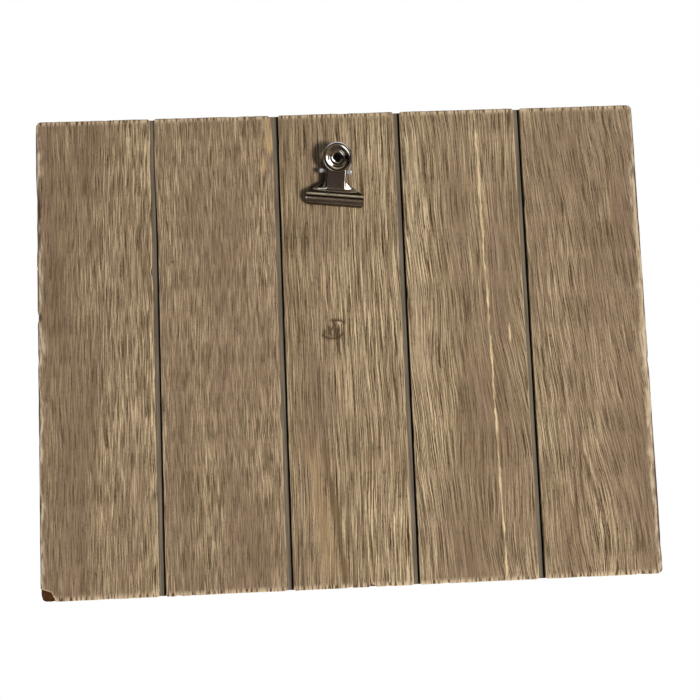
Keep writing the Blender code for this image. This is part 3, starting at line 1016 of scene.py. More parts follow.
@dataclass(frozen=True)
class PlatedMetal:
    """Bright or satin plated sheet and wire, rubbed by handling, with painted shade where less light would
    reach it.

    The shade is painted near the board, on undersides and on steep sides; the last two are read from the
    normal.
    """

    name: str
    colour: Colour
    tarnish: Colour
    smooth: float
    worn: float
    grain: float
    relief: float
    painted_shade: float = 0.0
    metallic: float = 1.0
    smudge_share: float = 0.6
    speck_share: float = 0.5
    rub_share: float = 0.5
    relief_strength: float = 0.5
    # Painted shade: where the metal is darkened near the board, on undersides and on steep sides.
    shade_depth: Point = (-20.6, -17.6)
    underside: Point = (-0.74, -0.92)
    steep_side: Point = (-0.74, -0.50)
    steep_shade: float = 0.85
    low_side: Point = (-0.75, -0.45)
    low_side_shade: float = 0.35

    def material(self, effects: Effects) -> bpy.types.Material:
        """Builds the material.

        Args:
            effects: The shared node groups.

        Returns:
            The material.
        """
        material, bench, shader = blank_material(self.name)
        place = bench.place()
        marks = bench.group(effects.marks, Place=place, Grain=self.grain)
        colour = bench.mix(bench.times(marks["Smudge"], self.smudge_share), self.colour, self.tarnish)
        colour = bench.mix(bench.times(marks["Speck"], self.speck_share), colour, self.tarnish)
        # Painted shade: darkens the metal towards black near the board, on undersides and on steep sides.
        if self.painted_shade:
            facing = bench.apart(bench.coordinate("Normal"))
            under = bench.ramp(facing["Z"], *self.underside)
            steep = bench.times(bench.ramp(facing["Y"], *self.steep_side, 0.0, self.steep_shade),
                                bench.ramp(facing["Z"], *self.low_side, self.low_side_shade, 1.0))
            shade_mask = bench.largest(bench.ramp(bench.apart(place)["Y"], *self.shade_depth), under, steep)
            colour = bench.mix(bench.times(shade_mask, self.painted_shade), colour, BLACK_STEEL_TONE)
        bench.feed(shader.inputs["Base Color"], colour)
        shader.inputs["Metallic"].default_value = self.metallic
        rough = bench.gained(marks["Smudge"], self.worn, self.smooth)
        rough = bench.gained(marks["Rub"], self.worn * self.rub_share, rough)
        bench.feed(shader.inputs["Roughness"], rough)
        bench.feed(shader.inputs["Normal"], bench.bump(marks["Height"], self.relief, self.relief_strength))
        return material


NICKEL = PlatedMetal("nickel_plate", (0.62, 0.59, 0.55), (0.36, 0.32, 0.28), smooth=0.08, worn=0.08,
                     grain=0.6, relief=0.004, painted_shade=0.8)
SPRING_STEEL = PlatedMetal("spring_steel", (0.36, 0.35, 0.33), (0.16, 0.13, 0.11), smooth=0.26, worn=0.14,
                           grain=1.4, relief=0.008)
BLACK_STEEL = PlatedMetal("black_steel", BLACK_STEEL_TONE, (0.005, 0.005, 0.004), smooth=0.46, worn=0.12,
                          grain=1.0, relief=0.008)
ZINC = PlatedMetal("zinc_plate", (0.62, 0.63, 0.62), (0.44, 0.43, 0.40), smooth=0.30, worn=0.16, grain=1.0,
                   relief=0.010, metallic=0.55)


def beside(place: Vector, first: Point, second: Point) -> float:
    """How far a place lies to the right of the line from one point to another."""
    side, off = Vector(second) - Vector(first), place - Vector(first)
    return (off.x * side.y - off.y * side.x) / side.length


@dataclass
class Knock:
    """A blow on a slat's face: a pale torn flake with dark scars round it. In millimetres on the board."""

    middle: Point = (-5.7, 9.2)
    half: float = 6.0
    grid_step: float = 0.28
    flake: tuple[Point, Point, Point] = ((-4.4, 12.9), (-0.8, 12.5), (-2.9, 11.0))
    flake_edge: Point = (-0.3, 0.3)
    scars: tuple[tuple[Point, ...], ...] = (
        ((-6.8, 13.6), (-2.6, 13.3), (-0.5, 12.1)),
        ((-6.2, 13.4), (-5.4, 10.4)),
        ((-10.8, 7.6), (-11.6, 5.6), (-9.4, 4.3), (-6.6, 3.9), (-3.2, 4.4), (-1.4, 6.4)),
        ((-8.4, 10.0), (-7.2, 5.2)),
        ((-6.4, 9.8), (-8.4, 6.6)),
        ((-5.0, 9.4), (-5.8, 5.0)),
        ((-3.4, 9.0), (-4.2, 5.0)),
    )
    scar_edge: Point = (0.85, 0.17)
    halo_edge: Point = (2.1, 0.3)
    halo_share: float = 0.48
    depth: float = 0.22
    scar_depth_share: float = 0.6

    def read(self, across: float, up: float) -> tuple[float, float]:
        """How much a place belongs to the flake and to the scars.

        Args:
            across: Place across the board, millimetres.
            up: Place up the board, millimetres.

        Returns:
            Shares of the flake and of the scars.
        """
        here = Vector((across, up))
        sides = zip(self.flake, self.flake[1:] + self.flake[:1])
        inside = min(beside(here, first, second) for first, second in sides)
        away = math.inf
        for line in self.scars:
            for start, end in zip(map(Vector, line), map(Vector, line[1:])):
                share = (here - start).dot(end - start) / (end - start).length_squared
                nearest = start.lerp(end, min(max(share, 0.0), 1.0))
                away = min(away, (here - nearest).length)
        scar = max(smoothstep(away, *self.scar_edge), self.halo_share * smoothstep(away, *self.halo_edge))
        return smoothstep(inside, *self.flake_edge), scar


@dataclass
class BrokenCorner:
    """The slat's corner that has broken off down to the fibreboard. In millimetres on the board."""

    line: tuple[Point, Point, Point] = ((-159.0, -118.4), (-154.4, -120.0), (-151.7, -125.4))
    depth: float = 1.5
    reach: Point = (5.0, 4.5)
    grid_step: float = 0.35
    ragged: float = 0.35
    ragged_scale: Point = (1.3, 0.9)
    ragged_seed: float = 4.0
    rough: float = 0.25
    rough_scale: float = 1.1
    rough_seed: float = 2.0
    fall_edge: Point = (0.0, 0.35)
    dark_edge: Point = (-0.05, 0.25)
    pale_edge: Point = (-0.75, -0.25)
    pale_share: float = 0.9

    def beyond(self, across: float, up: float) -> float:
        """How far a place lies past the break, towards the corner.

        Args:
            across: Place across the board, millimetres.
            up: Place up the board, millimetres.

        Returns:
            The distance, negative on the sound wood.
        """
        scale_across, scale_up = self.ragged_scale
        ragged = noise.noise(Vector((across * scale_across, up * scale_up, self.ragged_seed)))
        here = Vector((across, up))
        past = min(beside(here, first, second) for first, second in zip(self.line, self.line[1:]))
        return past + self.ragged * ragged


@dataclass
class Slat:
    """One slat of the board's face, rebuilt with worn edges, relief and damage. In millimetres."""

    figure: SlatFigure
    middle: float
    knock: Knock | None = None
    break_off: BrokenCorner | None = None
    column_step: float = 1.0
    row_step: float = 4.0
    edge_lines: tuple[float, ...] = (0.0, 0.08, 0.2, 0.36, 0.55, 0.8, 1.2, 1.8, 2.4, 3.0)
    closest_lines: float = 0.06
    wobble: float = 0.13
    wobble_scale: float = 0.07
    bite: float = 1.1
    bite_scale: float = 0.24
    bite_gate: float = 0.34
    bite_reach: float = 4.0
    chip_dark_edge: Point = (2.5, 1.9)
    arris: float = 0.55
    arris_change: float = 0.45
    arris_scale: float = 0.2
    relief: float = 0.05
    rib_scale: Point = (0.55, 0.018)
    rib_edge: Point = (0.0, 1.5)
    lime_change: float = 0.38
    lime_scale: Point = (0.06, 0.014)
    lime_least: float = 0.12
    seed_step: float = 13.0
    side_step: float = 5.0
    bite_shift: float = 2.0
    wobble_row: float = 0.3
    bite_row: float = 0.7
    rib_row: float = 3.0
    lime_row: float = 7.0
    no_edge: float = 9.0
    sharp: float = math.radians(50.0)
    stored: tuple[str, ...] = ("edge", "end", "rim", "lime", "flake", "scar", "broken", "side")

    def lines(self, length: float, step: float, spots: Iterable[Triple]) -> list[float]:
        """Grid lines along one side of the slat, closer at its edges and at its damage.

        Args:
            length: Length of the side, millimetres.
            step: Usual step between lines.
            spots: Middle, half length and step of each closer stretch.

        Returns:
            The lines' places from the side's start.
        """
        last = self.edge_lines[-1]
        wanted = [*self.edge_lines, *(length - line for line in self.edge_lines)]
        count = round((length - 2 * last) / step)
        wanted.extend(last + (length - 2 * last) * index / count for index in range(1, count))
        for middle, half, finer in spots:
            steps = round(2 * half / finer)
            wanted.extend(middle - half + 2 * half * index / steps for index in range(steps + 1))
        kept: list[float] = []
        for line in sorted(line for line in wanted if 0.0 <= line <= length):
            if not kept or line - kept[-1] > self.closest_lines:
                kept.append(line)
        kept[-1] = length
        return kept

    def pulled(self, across: float, up: float, width: float, height: float) -> Point:
        """Rounds the slat's corners.

        Args:
            across: Place from the left side, millimetres.
            up: Place from the lower end, millimetres.
            width: Width of the slat.
            height: Height of the slat.

        Returns:
            The place pulled in.
        """
        right, top = across > width / 2, up > height / 2
        radius = self.figure.corners[(2 if top else 0) + (1 if right else 0)]
        centre = Vector((width - radius if right else radius, height - radius if top else radius))
        off = Vector((across, up)) - centre
        outside = (off.x > 0) == right and (off.y > 0) == top and off.length > 0
        if outside:
            place = centre + off * (max(abs(off.x), abs(off.y)) / off.length)
            return place.x, place.y
        return across, up

    def inset(self, along: float, side: int) -> float:
        """How far a side is worn in at a place along it.

        Args:
            along: Place along the side, millimetres.
            side: Number of the side.

        Returns:
            The wear, millimetres.
        """
        seed = self.figure.seed * self.seed_step + side * self.side_step
        wave = noise.noise(Vector((seed, along * self.wobble_scale, self.wobble_row)))
        bitten = noise.noise(Vector((seed + self.bite_shift, along * self.bite_scale, self.bite_row)))
        return self.wobble * (1.0 + wave) + self.bite * max(0.0, bitten - self.bite_gate)

    def build(self) -> bpy.types.Object:
        """Builds the slat's closed mesh.

        Returns:
            The slat, which replaces its CAD node.
        """
        low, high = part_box(self.figure.node)
        left, bottom = low.x / MM, (low.z - self.middle) / MM
        width, height = (high.x - low.x) / MM, (high.z - low.z) / MM
        column_spots, row_spots = [], []
        if self.knock:
            column_spots.append((self.knock.middle[0] - left, self.knock.half, self.knock.grid_step))
            row_spots.append((self.knock.middle[1] - bottom, self.knock.half, self.knock.grid_step))
        if self.break_off:
            for spots, reach in zip((column_spots, row_spots), self.break_off.reach):
                spots.append((reach, reach, self.break_off.grid_step))
        for chip in self.figure.chips:
            if chip.upright():
                row_spots.append(chip.spot(bottom))
            else:
                column_spots.append(chip.spot(left))
        columns = self.lines(width, self.column_step, column_spots)
        rows = self.lines(height, self.row_step, row_spots)
        shape = bmesh.new()
        layers = {name: shape.verts.layers.float.new(name) for name in self.stored}
        box = (left, bottom, width, height)
        grid = [[self.vertex(shape, layers, (across, up), box, low.y) for across in columns] for up in rows]
        for lower, upper in zip(grid, grid[1:]):
            for index in range(len(columns) - 1):
                shape.faces.new((lower[index], lower[index + 1], upper[index + 1], upper[index]))
        right_side, left_side = [row[-1] for row in grid[1:-1]], [row[0] for row in grid[-2:0:-1]]
        self.close(shape, layers, grid[0] + right_side + grid[-1][::-1] + left_side, high.y)
        return solid(self.figure.node + "_wood", shape, Matrix.Identity(4), self.sharp)

    def vertex(self, shape: bmesh.types.BMesh, layers: dict, at: Point,
               box: tuple[float, float, float, float], front: float) -> bmesh.types.BMVert:
        """Adds one point of the slat's face with its stored values.

        Args:
            shape: The mesh being built.
            layers: Its stored values' layers.
            at: Place from the slat's lower left, millimetres.
            box: Left side, lower end, width and height, millimetres.
            front: Depth of the face, metres.

        Returns:
            The point.
        """
        across, up = at
        left, bottom, width, height = box
        seed = self.figure.seed
        x, z = self.pulled(across, up, width, height)
        sides = (across, width - across, up, height - up)
        bites = [self.inset(along, side) for side, along in enumerate((up, up, across, across))]
        dark = 0.0
        for chip in self.figure.chips:
            share = chip.share(bottom + up if chip.upright() else left + across)
            bites[chip.side.value] += chip.depth * share
            dark = max(dark, chip.dark * share * smoothstep(sides[chip.side.value], *self.chip_dark_edge))
        pulls = [bite * max(0.0, 1.0 - gap / self.bite_reach) ** 2 for bite, gap in zip(bites, sides)]
        x += pulls[0] - pulls[1]
        z += pulls[2] - pulls[3]
        gap = min(sides)
        board_x, board_z = left + x, bottom + z
        change = noise.noise(Vector((board_x * self.arris_scale, board_z * self.arris_scale, seed)))
        arris = self.arris * (1.0 + self.arris_change * change)
        drop = arris - math.sqrt(max(arris ** 2 - (arris - min(gap, arris)) ** 2, 0.0))
        across_scale, up_scale = self.rib_scale
        rib = noise.noise(Vector((board_x * across_scale, seed * self.rib_row, board_z * up_scale)))
        depth = drop + self.relief * (1.0 + rib) * smoothstep(gap, *self.rib_edge)
        values = {"edge": gap, "end": min(sides[2:]), "rim": self.no_edge, "scar": dark}
        if self.figure.outer:
            values["rim"] = sides[0] if self.figure.outer < 0 else sides[1]
        lime = self.figure.lime_at(across / width)
        across_scale, up_scale = self.lime_scale
        cloud = noise.noise(Vector((board_x * across_scale, seed * self.lime_row, board_z * up_scale)))
        values["lime"] = min(max(lime + self.lime_change * cloud, self.lime_least), 1.0)
        if self.knock:
            values["flake"], values["scar"] = self.knock.read(board_x, board_z)
            depth += self.knock.depth * max(values["flake"], values["scar"] * self.knock.scar_depth_share)
        if self.break_off:
            torn = self.break_off
            past = torn.beyond(board_x, board_z)
            values["broken"] = smoothstep(past, *torn.dark_edge)
            grain = Vector((board_x * torn.rough_scale, board_z * torn.rough_scale, torn.rough_seed))
            fall = torn.depth - drop + torn.rough * noise.noise(grain)
            depth += fall * smoothstep(past, *torn.fall_edge)
            values["flake"] = torn.pale_share * smoothstep(past, *torn.pale_edge) * (1.0 - values["broken"])
        vertex = shape.verts.new((board_x * MM, front + depth * MM, board_z * MM + self.middle))
        for name, value in values.items():
            vertex[layers[name]] = value
        return vertex

    def close(self, shape: bmesh.types.BMesh, layers: dict, loop: list[bmesh.types.BMVert],
              back: float) -> None:
        """Adds the slat's sides and its back.

        Args:
            shape: The mesh being built.
            layers: Its stored values' layers.
            loop: The face's outline, in order.
            back: Depth of the slat's back, metres.
        """
        ring = []
        for vertex in loop:
            copy = shape.verts.new((vertex.co.x, back, vertex.co.z))
            copy[layers["side"]] = 1.0
            for name in ("edge", "end", "rim"):
                copy[layers[name]] = self.no_edge
            ring.append(copy)
        for index in range(len(loop)):
            after = (index + 1) % len(loop)
            shape.faces.new((loop[after], loop[index], ring[index], ring[after]))
        shape.faces.new(ring[::-1])
        bmesh.ops.recalc_face_normals(shape, faces=shape.faces)


@dataclass
class SlatDeck:
    """The five slats of the board's face."""

    effects: Effects
    wood: LimedWood = LimedWood()
    knocked: str = "slat_3"
    broken: str = "slat_1"
    figures: tuple[SlatFigure, ...] = (
        SlatFigure(
            "slat_1", seed=1.3, lime=(0.05, 0.30, 0.72), warmth=0.40, wander=2.0, comb=0.96, short=0.90,
            lean=-0.01, pores=0.26, corners=(3.0, 1.2, 3.0, 1.2), outer=-1,
            strokes=(
                Stroke(
                    StrokeKind.PALE, across=-110.5, lean=0.01, low=-110.0, high=70.0, width=1.4,
                    waver=1.0, strength=0.35, fade=30.0,
                ),
            ),
            chips=(
                Chip(Side.LEFT, middle=77.0, half=9.5, depth=0.35, dark=1.0),
                Chip(Side.LEFT, middle=61.0, half=6.0, depth=0.30, dark=0.90),
                Chip(Side.LEFT, middle=20.4, half=2.4, depth=0.55, dark=1.0),
                Chip(Side.RIGHT, middle=42.5, half=2.4, depth=0.9),
            ),
        ),
        SlatFigure(
            "slat_2", seed=4.7, lime=(0.34, 0.30, 0.42), warmth=0.36, wander=1.6, comb=0.92, short=1.00,
            pores=0.30, corners=(1.2, 1.2, 1.2, 3.4),
            strokes=(
                Stroke(
                    StrokeKind.AMBER, across=-37.0, lean=0.0, low=102.0, high=127.0, width=3.0,
                    waver=0.3, strength=0.52, fade=5.0, gaps=0.6,
                ),
                Stroke(
                    StrokeKind.DOT, across=-89.5, lean=0.0, low=46.4, high=48.6, width=0.9,
                    waver=0.0, strength=0.55, fade=0.6, gaps=0.0,
                ),
                Stroke(
                    StrokeKind.AMBER, across=-40.2, lean=0.0, low=91.0, high=105.0, width=2.6,
                    waver=0.3, strength=0.45, fade=6.0, gaps=0.6,
                ),
            ),
            chips=(
                Chip(Side.LEFT, middle=125.0, half=52.0, depth=-1.0),
                Chip(Side.RIGHT, middle=-35.4, half=6.0, depth=0.7),
            ),
        ),
        SlatFigure(
            "slat_3", seed=8.2, lime=(0.34, 0.50, 0.85), warmth=0.55, wander=2.2, comb=1.08, short=0.50,
            pores=0.12,
            strokes=(
                Stroke(
                    StrokeKind.WARM, across=-25.4, lean=-0.115, low=-130.0, high=-40.0, width=6.5,
                    waver=0.8, strength=0.50, fade=24.0, gaps=0.3,
                ),
                Stroke(
                    StrokeKind.DARK, across=-19.3, lean=-0.124, low=-130.0, high=-42.0, width=2.9,
                    waver=0.6, strength=0.75, fade=12.0, gaps=0.2,
                ),
                Stroke(
                    StrokeKind.PALE, across=0.6, lean=0.004, low=-44.0, high=72.0, width=0.8,
                    waver=0.5, strength=0.65, fade=16.0,
                ),
            ),
            chips=(Chip(Side.LOW, middle=9.1, half=1.5, depth=1.3),),
        ),
        SlatFigure(
            "slat_4", seed=12.6, lime=(0.88, 0.30, 0.44), warmth=0.50, wander=4.2, comb=1.06, short=0.52,
            lean=0.07, pores=0.12,
            strokes=(
                Stroke(
                    StrokeKind.PALE, across=39.0, lean=0.0, low=-40.0, high=128.0, width=6.0,
                    waver=0.8, strength=0.30, fade=30.0,
                ),
                Stroke(
                    StrokeKind.CREAM, across=76.4, lean=-0.020, low=-126.0, high=124.0, width=0.86,
                    waver=0.7, strength=0.86, fade=4.0,
                ),
                Stroke(
                    StrokeKind.CREAM, across=86.9, lean=0.0, low=-2.5, high=10.0, width=0.8,
                    waver=0.2, strength=1.0, fade=4.0,
                ),
            ),
        ),
        SlatFigure(
            "slat_5", seed=16.9, lime=(0.54, 0.42, 0.14), warmth=0.42, wander=3.6, comb=1.06, short=0.66,
            lean=0.09, pores=0.14, corners=(1.2, 3.0, 1.2, 3.0), outer=1, stained=1.25,
            strokes=(
                Stroke(
                    StrokeKind.DOT, across=108.4, lean=0.0, low=0.0, high=2.2, width=0.9,
                    waver=0.0, strength=0.6, fade=0.6, gaps=0.0,
                ),
                Stroke(
                    StrokeKind.PALE, across=158.3, lean=0.0, low=-85.0, high=90.0, width=2.4,
                    waver=0.8, strength=0.8, fade=25.0,
                ),
            ),
        ),
    )

    def build(self) -> list[bpy.types.Object]:
        """Builds and dresses every slat.

        Returns:
            The slats.
        """
        low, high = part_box("backing_panel")
        middle = (low.z + high.z) / 2
        made = []
        for figure in self.figures:
            knock = Knock() if figure.node == self.knocked else None
            break_off = BrokenCorner() if figure.node == self.broken else None
            thing = Slat(figure, middle, knock, break_off).build()
            thing.data.materials.append(self.wood.material(figure, self.effects))
            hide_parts(figure.node)
            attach(thing, Body.BOARD.value)
            made.append(thing)
        return made


@dataclass
class BackingPanel:
    """The fibreboard panel behind the slats, shown as its CAD node."""

    effects: Effects
    board: Fibreboard = Fibreboard()

    def dress(self) -> bpy.types.Object:
        """Gives the panel its material.

        Returns:
            The panel.
        """
        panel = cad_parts["backing_panel"]
        slats = [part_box(figure.node) for figure in SlatDeck.figures]
        gaps = [(near[1].x / MM, far[0].x / MM) for near, far in zip(slats, slats[1:])]
        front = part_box("backing_panel")[0].y / MM
        panel.data.materials.clear()
        panel.data.materials.append(self.board.material(gaps, front, self.effects))
        return panel


@dataclass
class BulldogClip:
    """The sprung clip: two stamped levers, their pin and spring, and the screw. Lengths in millimetres."""

    effects: Effects
    screw_side: float = -0.5
    screw_drop: float = 26.9
    turn: float = math.radians(6.3)
    spread: float = math.radians(20.0)
    clearance: float = 0.3
    sheet: float = 0.8
    sheet_edge: float = 0.16
    edge_support: float = 0.24
    pin_offset: float = 5.0
    pin_to_disc: float = 7.4
    neck_width: float = 10.8
    neck_fold: float = 0.8
    neck_flange: float = 1.2
    neck_foot: float = 5.4
    ear_radius: float = 2.2
    jaw_width: float = 30.0
    jaw_reach: float = 17.1
    jaw_bead: float = 4.2
    jaw_lip_trim: float = 1.4
    jaw_corner_drop: float = 1.8
    jaw_valley: float = 0.9
    jaw_shoulder: float = 1.0
    jaw_lip_angle: float = math.radians(158.0)
    jaw_top_angle: float = math.radians(45.0)
    disc_radius: float = 7.7
    disc_hole: float = 2.3
    disc_wall: float = 5.0
    disc_sink: float = 0.03
    disc_slope: float = math.radians(33.0)
    disc_skirt: float = math.radians(68.0)
    skirt_rows: Triple = (0.25, 0.75, 1.0)
    disc_depth: float = 1.2
    disc_collar: float = 0.2
    disc_dimple: float = 0.4
    disc_bend: float = 0.22
    disc_web: float = 4.9
    pin_radius: float = 0.9
    pin_length: float = 16.8
    pin_shift: float = -0.6
    stake_radius: float = 1.3
    stake_length: float = 1.6
    stake_end_radius: float = 1.04
    stake_end_bevel: float = 0.4
    stake_root: float = 0.64
    wire_radius: float = 0.4
    spring_radius: float = 1.75
    spring_half: float = 2.75
    spring_turns: int = 5
    spring_leg: float = 3.6
    screw_head: float = 3.5
    screw_height: float = 2.2
    screw_shank: float = 1.75
    screw_length: float = 12.5
    screw_crown: float = 1.54
    sharp: float = math.radians(38.0)
    bevel_angle: float = math.radians(60.0)
    bead_steps: int = 27
    valley_steps: int = 10
    shoulder_steps: int = 8
    neck_steps: int = 9
    ear_steps: int = 24
    web_steps: int = 4
    fold_steps: int = 6
    lip_rows: int = 12
    crest_steps: int = 12
    disc_steps: int = 96
    pin_steps: int = 32
    screw_steps: int = 40
    curl_steps: int = 40
    finishes: dict[Slot, bpy.types.Material] = field(init=False)

    def swivel(self) -> Matrix:
        """The place of the clip's screw on the board's face.

        Returns:
            The place, turned with the clip, with its Z axis out to the front.
        """
        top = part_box("backing_panel")[1].z
        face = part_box("slat_3")[0].y
        place = Matrix.Translation((self.screw_side * MM, face, top - self.screw_drop * MM))
        turned = Matrix.Rotation(math.pi / 2, 4, "X") @ Matrix.Rotation(-self.turn, 4, "Z")
        return place @ turned @ Matrix.Scale(MM, 4)

    def hinge(self) -> Matrix:
        """The place of the pin's axis."""
        height = self.clearance + self.disc_depth + self.sheet / 2 + self.pin_offset
        return self.swivel() @ Matrix.Translation((0.0, -self.pin_to_disc, height))

    def profile(self) -> list[Point]:
        """The lever's side profile from the lip up to the neck.

        Returns:
            Points of height and depth from the neck's flat.
        """
        sine = math.sin(self.jaw_top_angle)
        bead = (-self.jaw_reach - self.jaw_bead * math.cos(self.jaw_lip_angle),
                -self.jaw_bead * sine - self.jaw_shoulder * (1 - sine))
        points = arc(bead, self.jaw_bead, self.jaw_lip_angle, self.jaw_top_angle, self.bead_steps)
        along = Vector((math.cos(self.jaw_top_angle), sine))
        valley = Vector(points[-1]) + self.jaw_valley * along
        turn_in, turn_out = math.pi + self.jaw_top_angle, 2 * math.pi - self.jaw_top_angle
        points.extend(arc(valley, self.jaw_valley, turn_in, turn_out, self.valley_steps)[1:])
        shoulder = Vector(points[-1]) + self.jaw_shoulder * Vector((along.x, -along.y))
        start = math.pi - self.jaw_top_angle
        points.extend(arc(shoulder, self.jaw_shoulder, start, math.pi / 2, self.shoulder_steps)[1:])
        span = self.neck_foot - self.ear_radius
        for step in range(self.neck_steps):
            points.append((-self.ear_radius - span * (1 - step / self.neck_steps), 0.0))
        for step in range(self.ear_steps + 1):
            points.append((-self.ear_radius * math.cos(math.pi * step / self.ear_steps), 0.0))
        return points

    def flange(self, height: float) -> float:
        """How far the neck's side flange reaches in from the flat.

        Args:
            height: Height above the pin.

        Returns:
            The reach.
        """
        if abs(height) <= self.ear_radius:
            return self.pin_offset + math.sqrt(self.ear_radius ** 2 - height ** 2)
        taper = min(max((-height - self.ear_radius) / (self.neck_foot - self.ear_radius), 0.0), 1.0)
        return self.pin_offset + (self.neck_flange + self.neck_fold - self.pin_offset) * taper

    def section(self, web: float, fold: float, flange: float) -> list[Point]:
        """Half a section across the sheet: flat web, fold, straight flange.

        Args:
            web: Half width of the flat web.
            fold: Angle of the fold.
            flange: Length of the flange.

        Returns:
            Points of distance across and depth.
        """
        length, steps = self.neck_fold * math.pi / 2, self.fold_steps
        points = [(web * step / self.web_steps, 0.0) for step in range(self.web_steps + 1)]
        for step in range(1, steps + 1):
            turned, run = fold * step / steps, length * step / steps
            chord = math.sin(turned / 2) / (turned / 2) if turned else 1.0
            points.append((web + run * chord * math.cos(turned / 2), -run * chord * math.sin(turned / 2)))
        start = points[-1]
        reaches = [flange * step / steps for step in range(1, steps - 1)]
        for reach in (*reaches, flange - self.edge_support, flange):
            points.append((start[0] + reach * math.cos(fold), start[1] - reach * math.sin(fold)))
        return points

    def rows(self, neck_width: float) -> list[list[Triple]]:
        """Rows of points across half the lever's sheet, from the lip to under the disc.

        Args:
            neck_width: Width over the neck's flanges.

        Returns:
            The rows, as across, up and out from the pin.
        """
        web = neck_width / 2 - self.sheet / 2 - self.neck_fold
        widest = self.jaw_width / 2 - web - self.neck_fold * math.pi / 2
        bead_height = math.cos(self.jaw_lip_angle) - math.cos(self.jaw_top_angle)
        jaw_top = -self.jaw_reach - self.jaw_bead * bead_height
        made = []
        for index, (height, out) in enumerate(self.profile()):
            flare = min(max((-self.neck_foot - height) / (-self.neck_foot - jaw_top), 0.0), 1.0)
            fold = (1.0 - flare) ** 2 * math.pi / 2
            spread = smoothstep(-height, self.neck_foot, self.jaw_corner_drop - jaw_top)
            flange = self.neck_flange + (widest - self.neck_flange) * spread
            if flare == 0.0:
                flange = self.flange(height) - self.neck_fold
            flange -= self.jaw_lip_trim * max(0.0, 1.0 - index / self.lip_rows) ** 2
            made.append([(a, height, self.pin_offset + out + d) for a, d in self.section(web, fold, flange)])
        last = []
        for across, height, out in made[-1]:
            under = self.pin_to_disc - math.sqrt(max(self.disc_web ** 2 - across ** 2, 0.0))
            last.append((across, under if across <= web else height + self.clearance, out))
        made.append(last)
        return made

    def lever_sheet(self, name: str, neck_width: float) -> bpy.types.Object:
        """The lever's jaw, neck and ears as one open sheet with its thickness.

        Args:
            name: Name of the sheet.
            neck_width: Width over the neck's flanges.

        Returns:
            The sheet.
        """
        shape = bmesh.new()
        grid = []
        for row in self.rows(neck_width):
            left = [shape.verts.new((-across, up, out)) for across, up, out in reversed(row[1:])]
            grid.append(left + [shape.verts.new(point) for point in row])
        for low, high in zip(grid, grid[1:]):
            for column in range(len(low) - 1):
                shape.faces.new((low[column], low[column + 1], high[column + 1], high[column]))
        return self.thickened(name, shape)

    def thickened(self, name: str, shape: bmesh.types.BMesh) -> bpy.types.Object:
        """Turns an open sheet into an object with the sheet's thickness.

        Args:
            name: Name of the object.
            shape: The open sheet, which is used up.

        Returns:
            The object.
        """
        mesh = bpy.data.meshes.new(name)
        shape.to_mesh(mesh)
        shape.free()
        thing = piece(name, mesh)
        shell = thing.modifiers.new("sheet", "SOLIDIFY")
        shell.thickness = self.sheet
        shell.offset = 0.0
        shell.use_even_offset = True
        shell.use_quality_normals = True
        eased_edge = thing.modifiers.new("edge", "BEVEL")
        eased_edge.width = self.sheet_edge
        eased_edge.segments = 2
        eased_edge.limit_method = "ANGLE"
        eased_edge.angle_limit = self.bevel_angle
        return thing

    def disc(self, name: str, collar: float) -> bpy.types.Object:
        """The dished disc: a flat floor, a sloping wall, a rounded crest and a skirt turned down round it.

        Args:
            name: Name of the disc.
            collar: How far the hole's edge stands out.

        Returns:
            The disc about the pin.
        """
        skirt = self.disc_skirt
        rim = self.disc_radius - self.sheet / 2 * math.sin(skirt)
        top = self.disc_depth - self.disc_sink
        crest = rim - top / math.tan(skirt)
        bend = (crest - self.disc_wall) / math.sin(self.disc_slope)
        wall = arc((crest, top - bend), bend, math.pi / 2 + self.disc_slope, math.pi / 2, self.crest_steps)
        floor = wall[0][0] - wall[0][1] / math.tan(self.disc_slope)
        points = [(self.disc_hole, collar), (self.disc_hole + self.sheet, 0.0), (floor, 0.0), wall[0]]
        turned_down = [(crest + (rim - crest) * share, top * (1 - share)) for share in self.skirt_rows]
        points = [*eased(points, self.disc_bend), *wall[1:], *turned_down]
        points.reverse()
        shape = lathe([(radius, self.pin_offset + out) for radius, out in points], self.disc_steps)
        bmesh.ops.translate(shape, verts=shape.verts, vec=(0.0, self.pin_to_disc, 0.0))
        return self.thickened(name, shape)

    def lever(self, node: str, neck_width: float, collar: float, turned: Matrix,
              body: Body) -> bpy.types.Object:
        """One lever: its sheet, the disc joined on, and the pin's bore through its ears.

        Args:
            node: The CAD node that it replaces.
            neck_width: Width over the neck's flanges.
            collar: How far the edge of the disc's hole stands out.
            turned: How the lever is turned about the pin.
            body: The body that it rides on.

        Returns:
            The lever.
        """
        sheet = self.lever_sheet(node + "_sheet", neck_width)
        disc = self.disc(node + "_disc", collar)
        bored = self.pin_radius + self.clearance
        bore_shape = lathe([(0.0, -self.jaw_width), (bored, -self.jaw_width), (bored, self.jaw_width),
                            (0.0, self.jaw_width)], self.pin_steps)
        bmesh.ops.rotate(bore_shape, verts=bore_shape.verts, matrix=Matrix.Rotation(math.pi / 2, 3, "Y"))
        bore_mesh = bpy.data.meshes.new(node + "_bore")
        bore_shape.to_mesh(bore_mesh)
        bore_shape.free()
        bore = piece(node + "_bore", bore_mesh)
        for cutter, operation in ((disc, "UNION"), (bore, "DIFFERENCE")):
            cut = sheet.modifiers.new(operation.lower(), "BOOLEAN")
            cut.object = cutter
            cut.operation = operation
            cut.solver = "EXACT"
        thing = piece(node + "_nickel", baked(sheet, self.hinge() @ turned, self.sharp))
        for helper in (sheet, disc, bore):
            bpy.data.objects.remove(helper)
        return self.dressed(thing, node, body, Slot.NICKEL)

    def dressed(self, thing: bpy.types.Object, node: str, body: Body | None, slot: Slot) -> bpy.types.Object:
        """Gives a clip piece its material, its body and the node that it replaces.

        Args:
            thing: The piece.
            node: The CAD node that it replaces.
            body: The body that it rides on, or None when it rides on none.
            slot: Its material slot.

        Returns:
            The piece.
        """
        thing.data.materials.clear()
        thing.data.materials.append(self.finishes[slot])
        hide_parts(node)
        if body:
            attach(thing, body.value)
        return thing

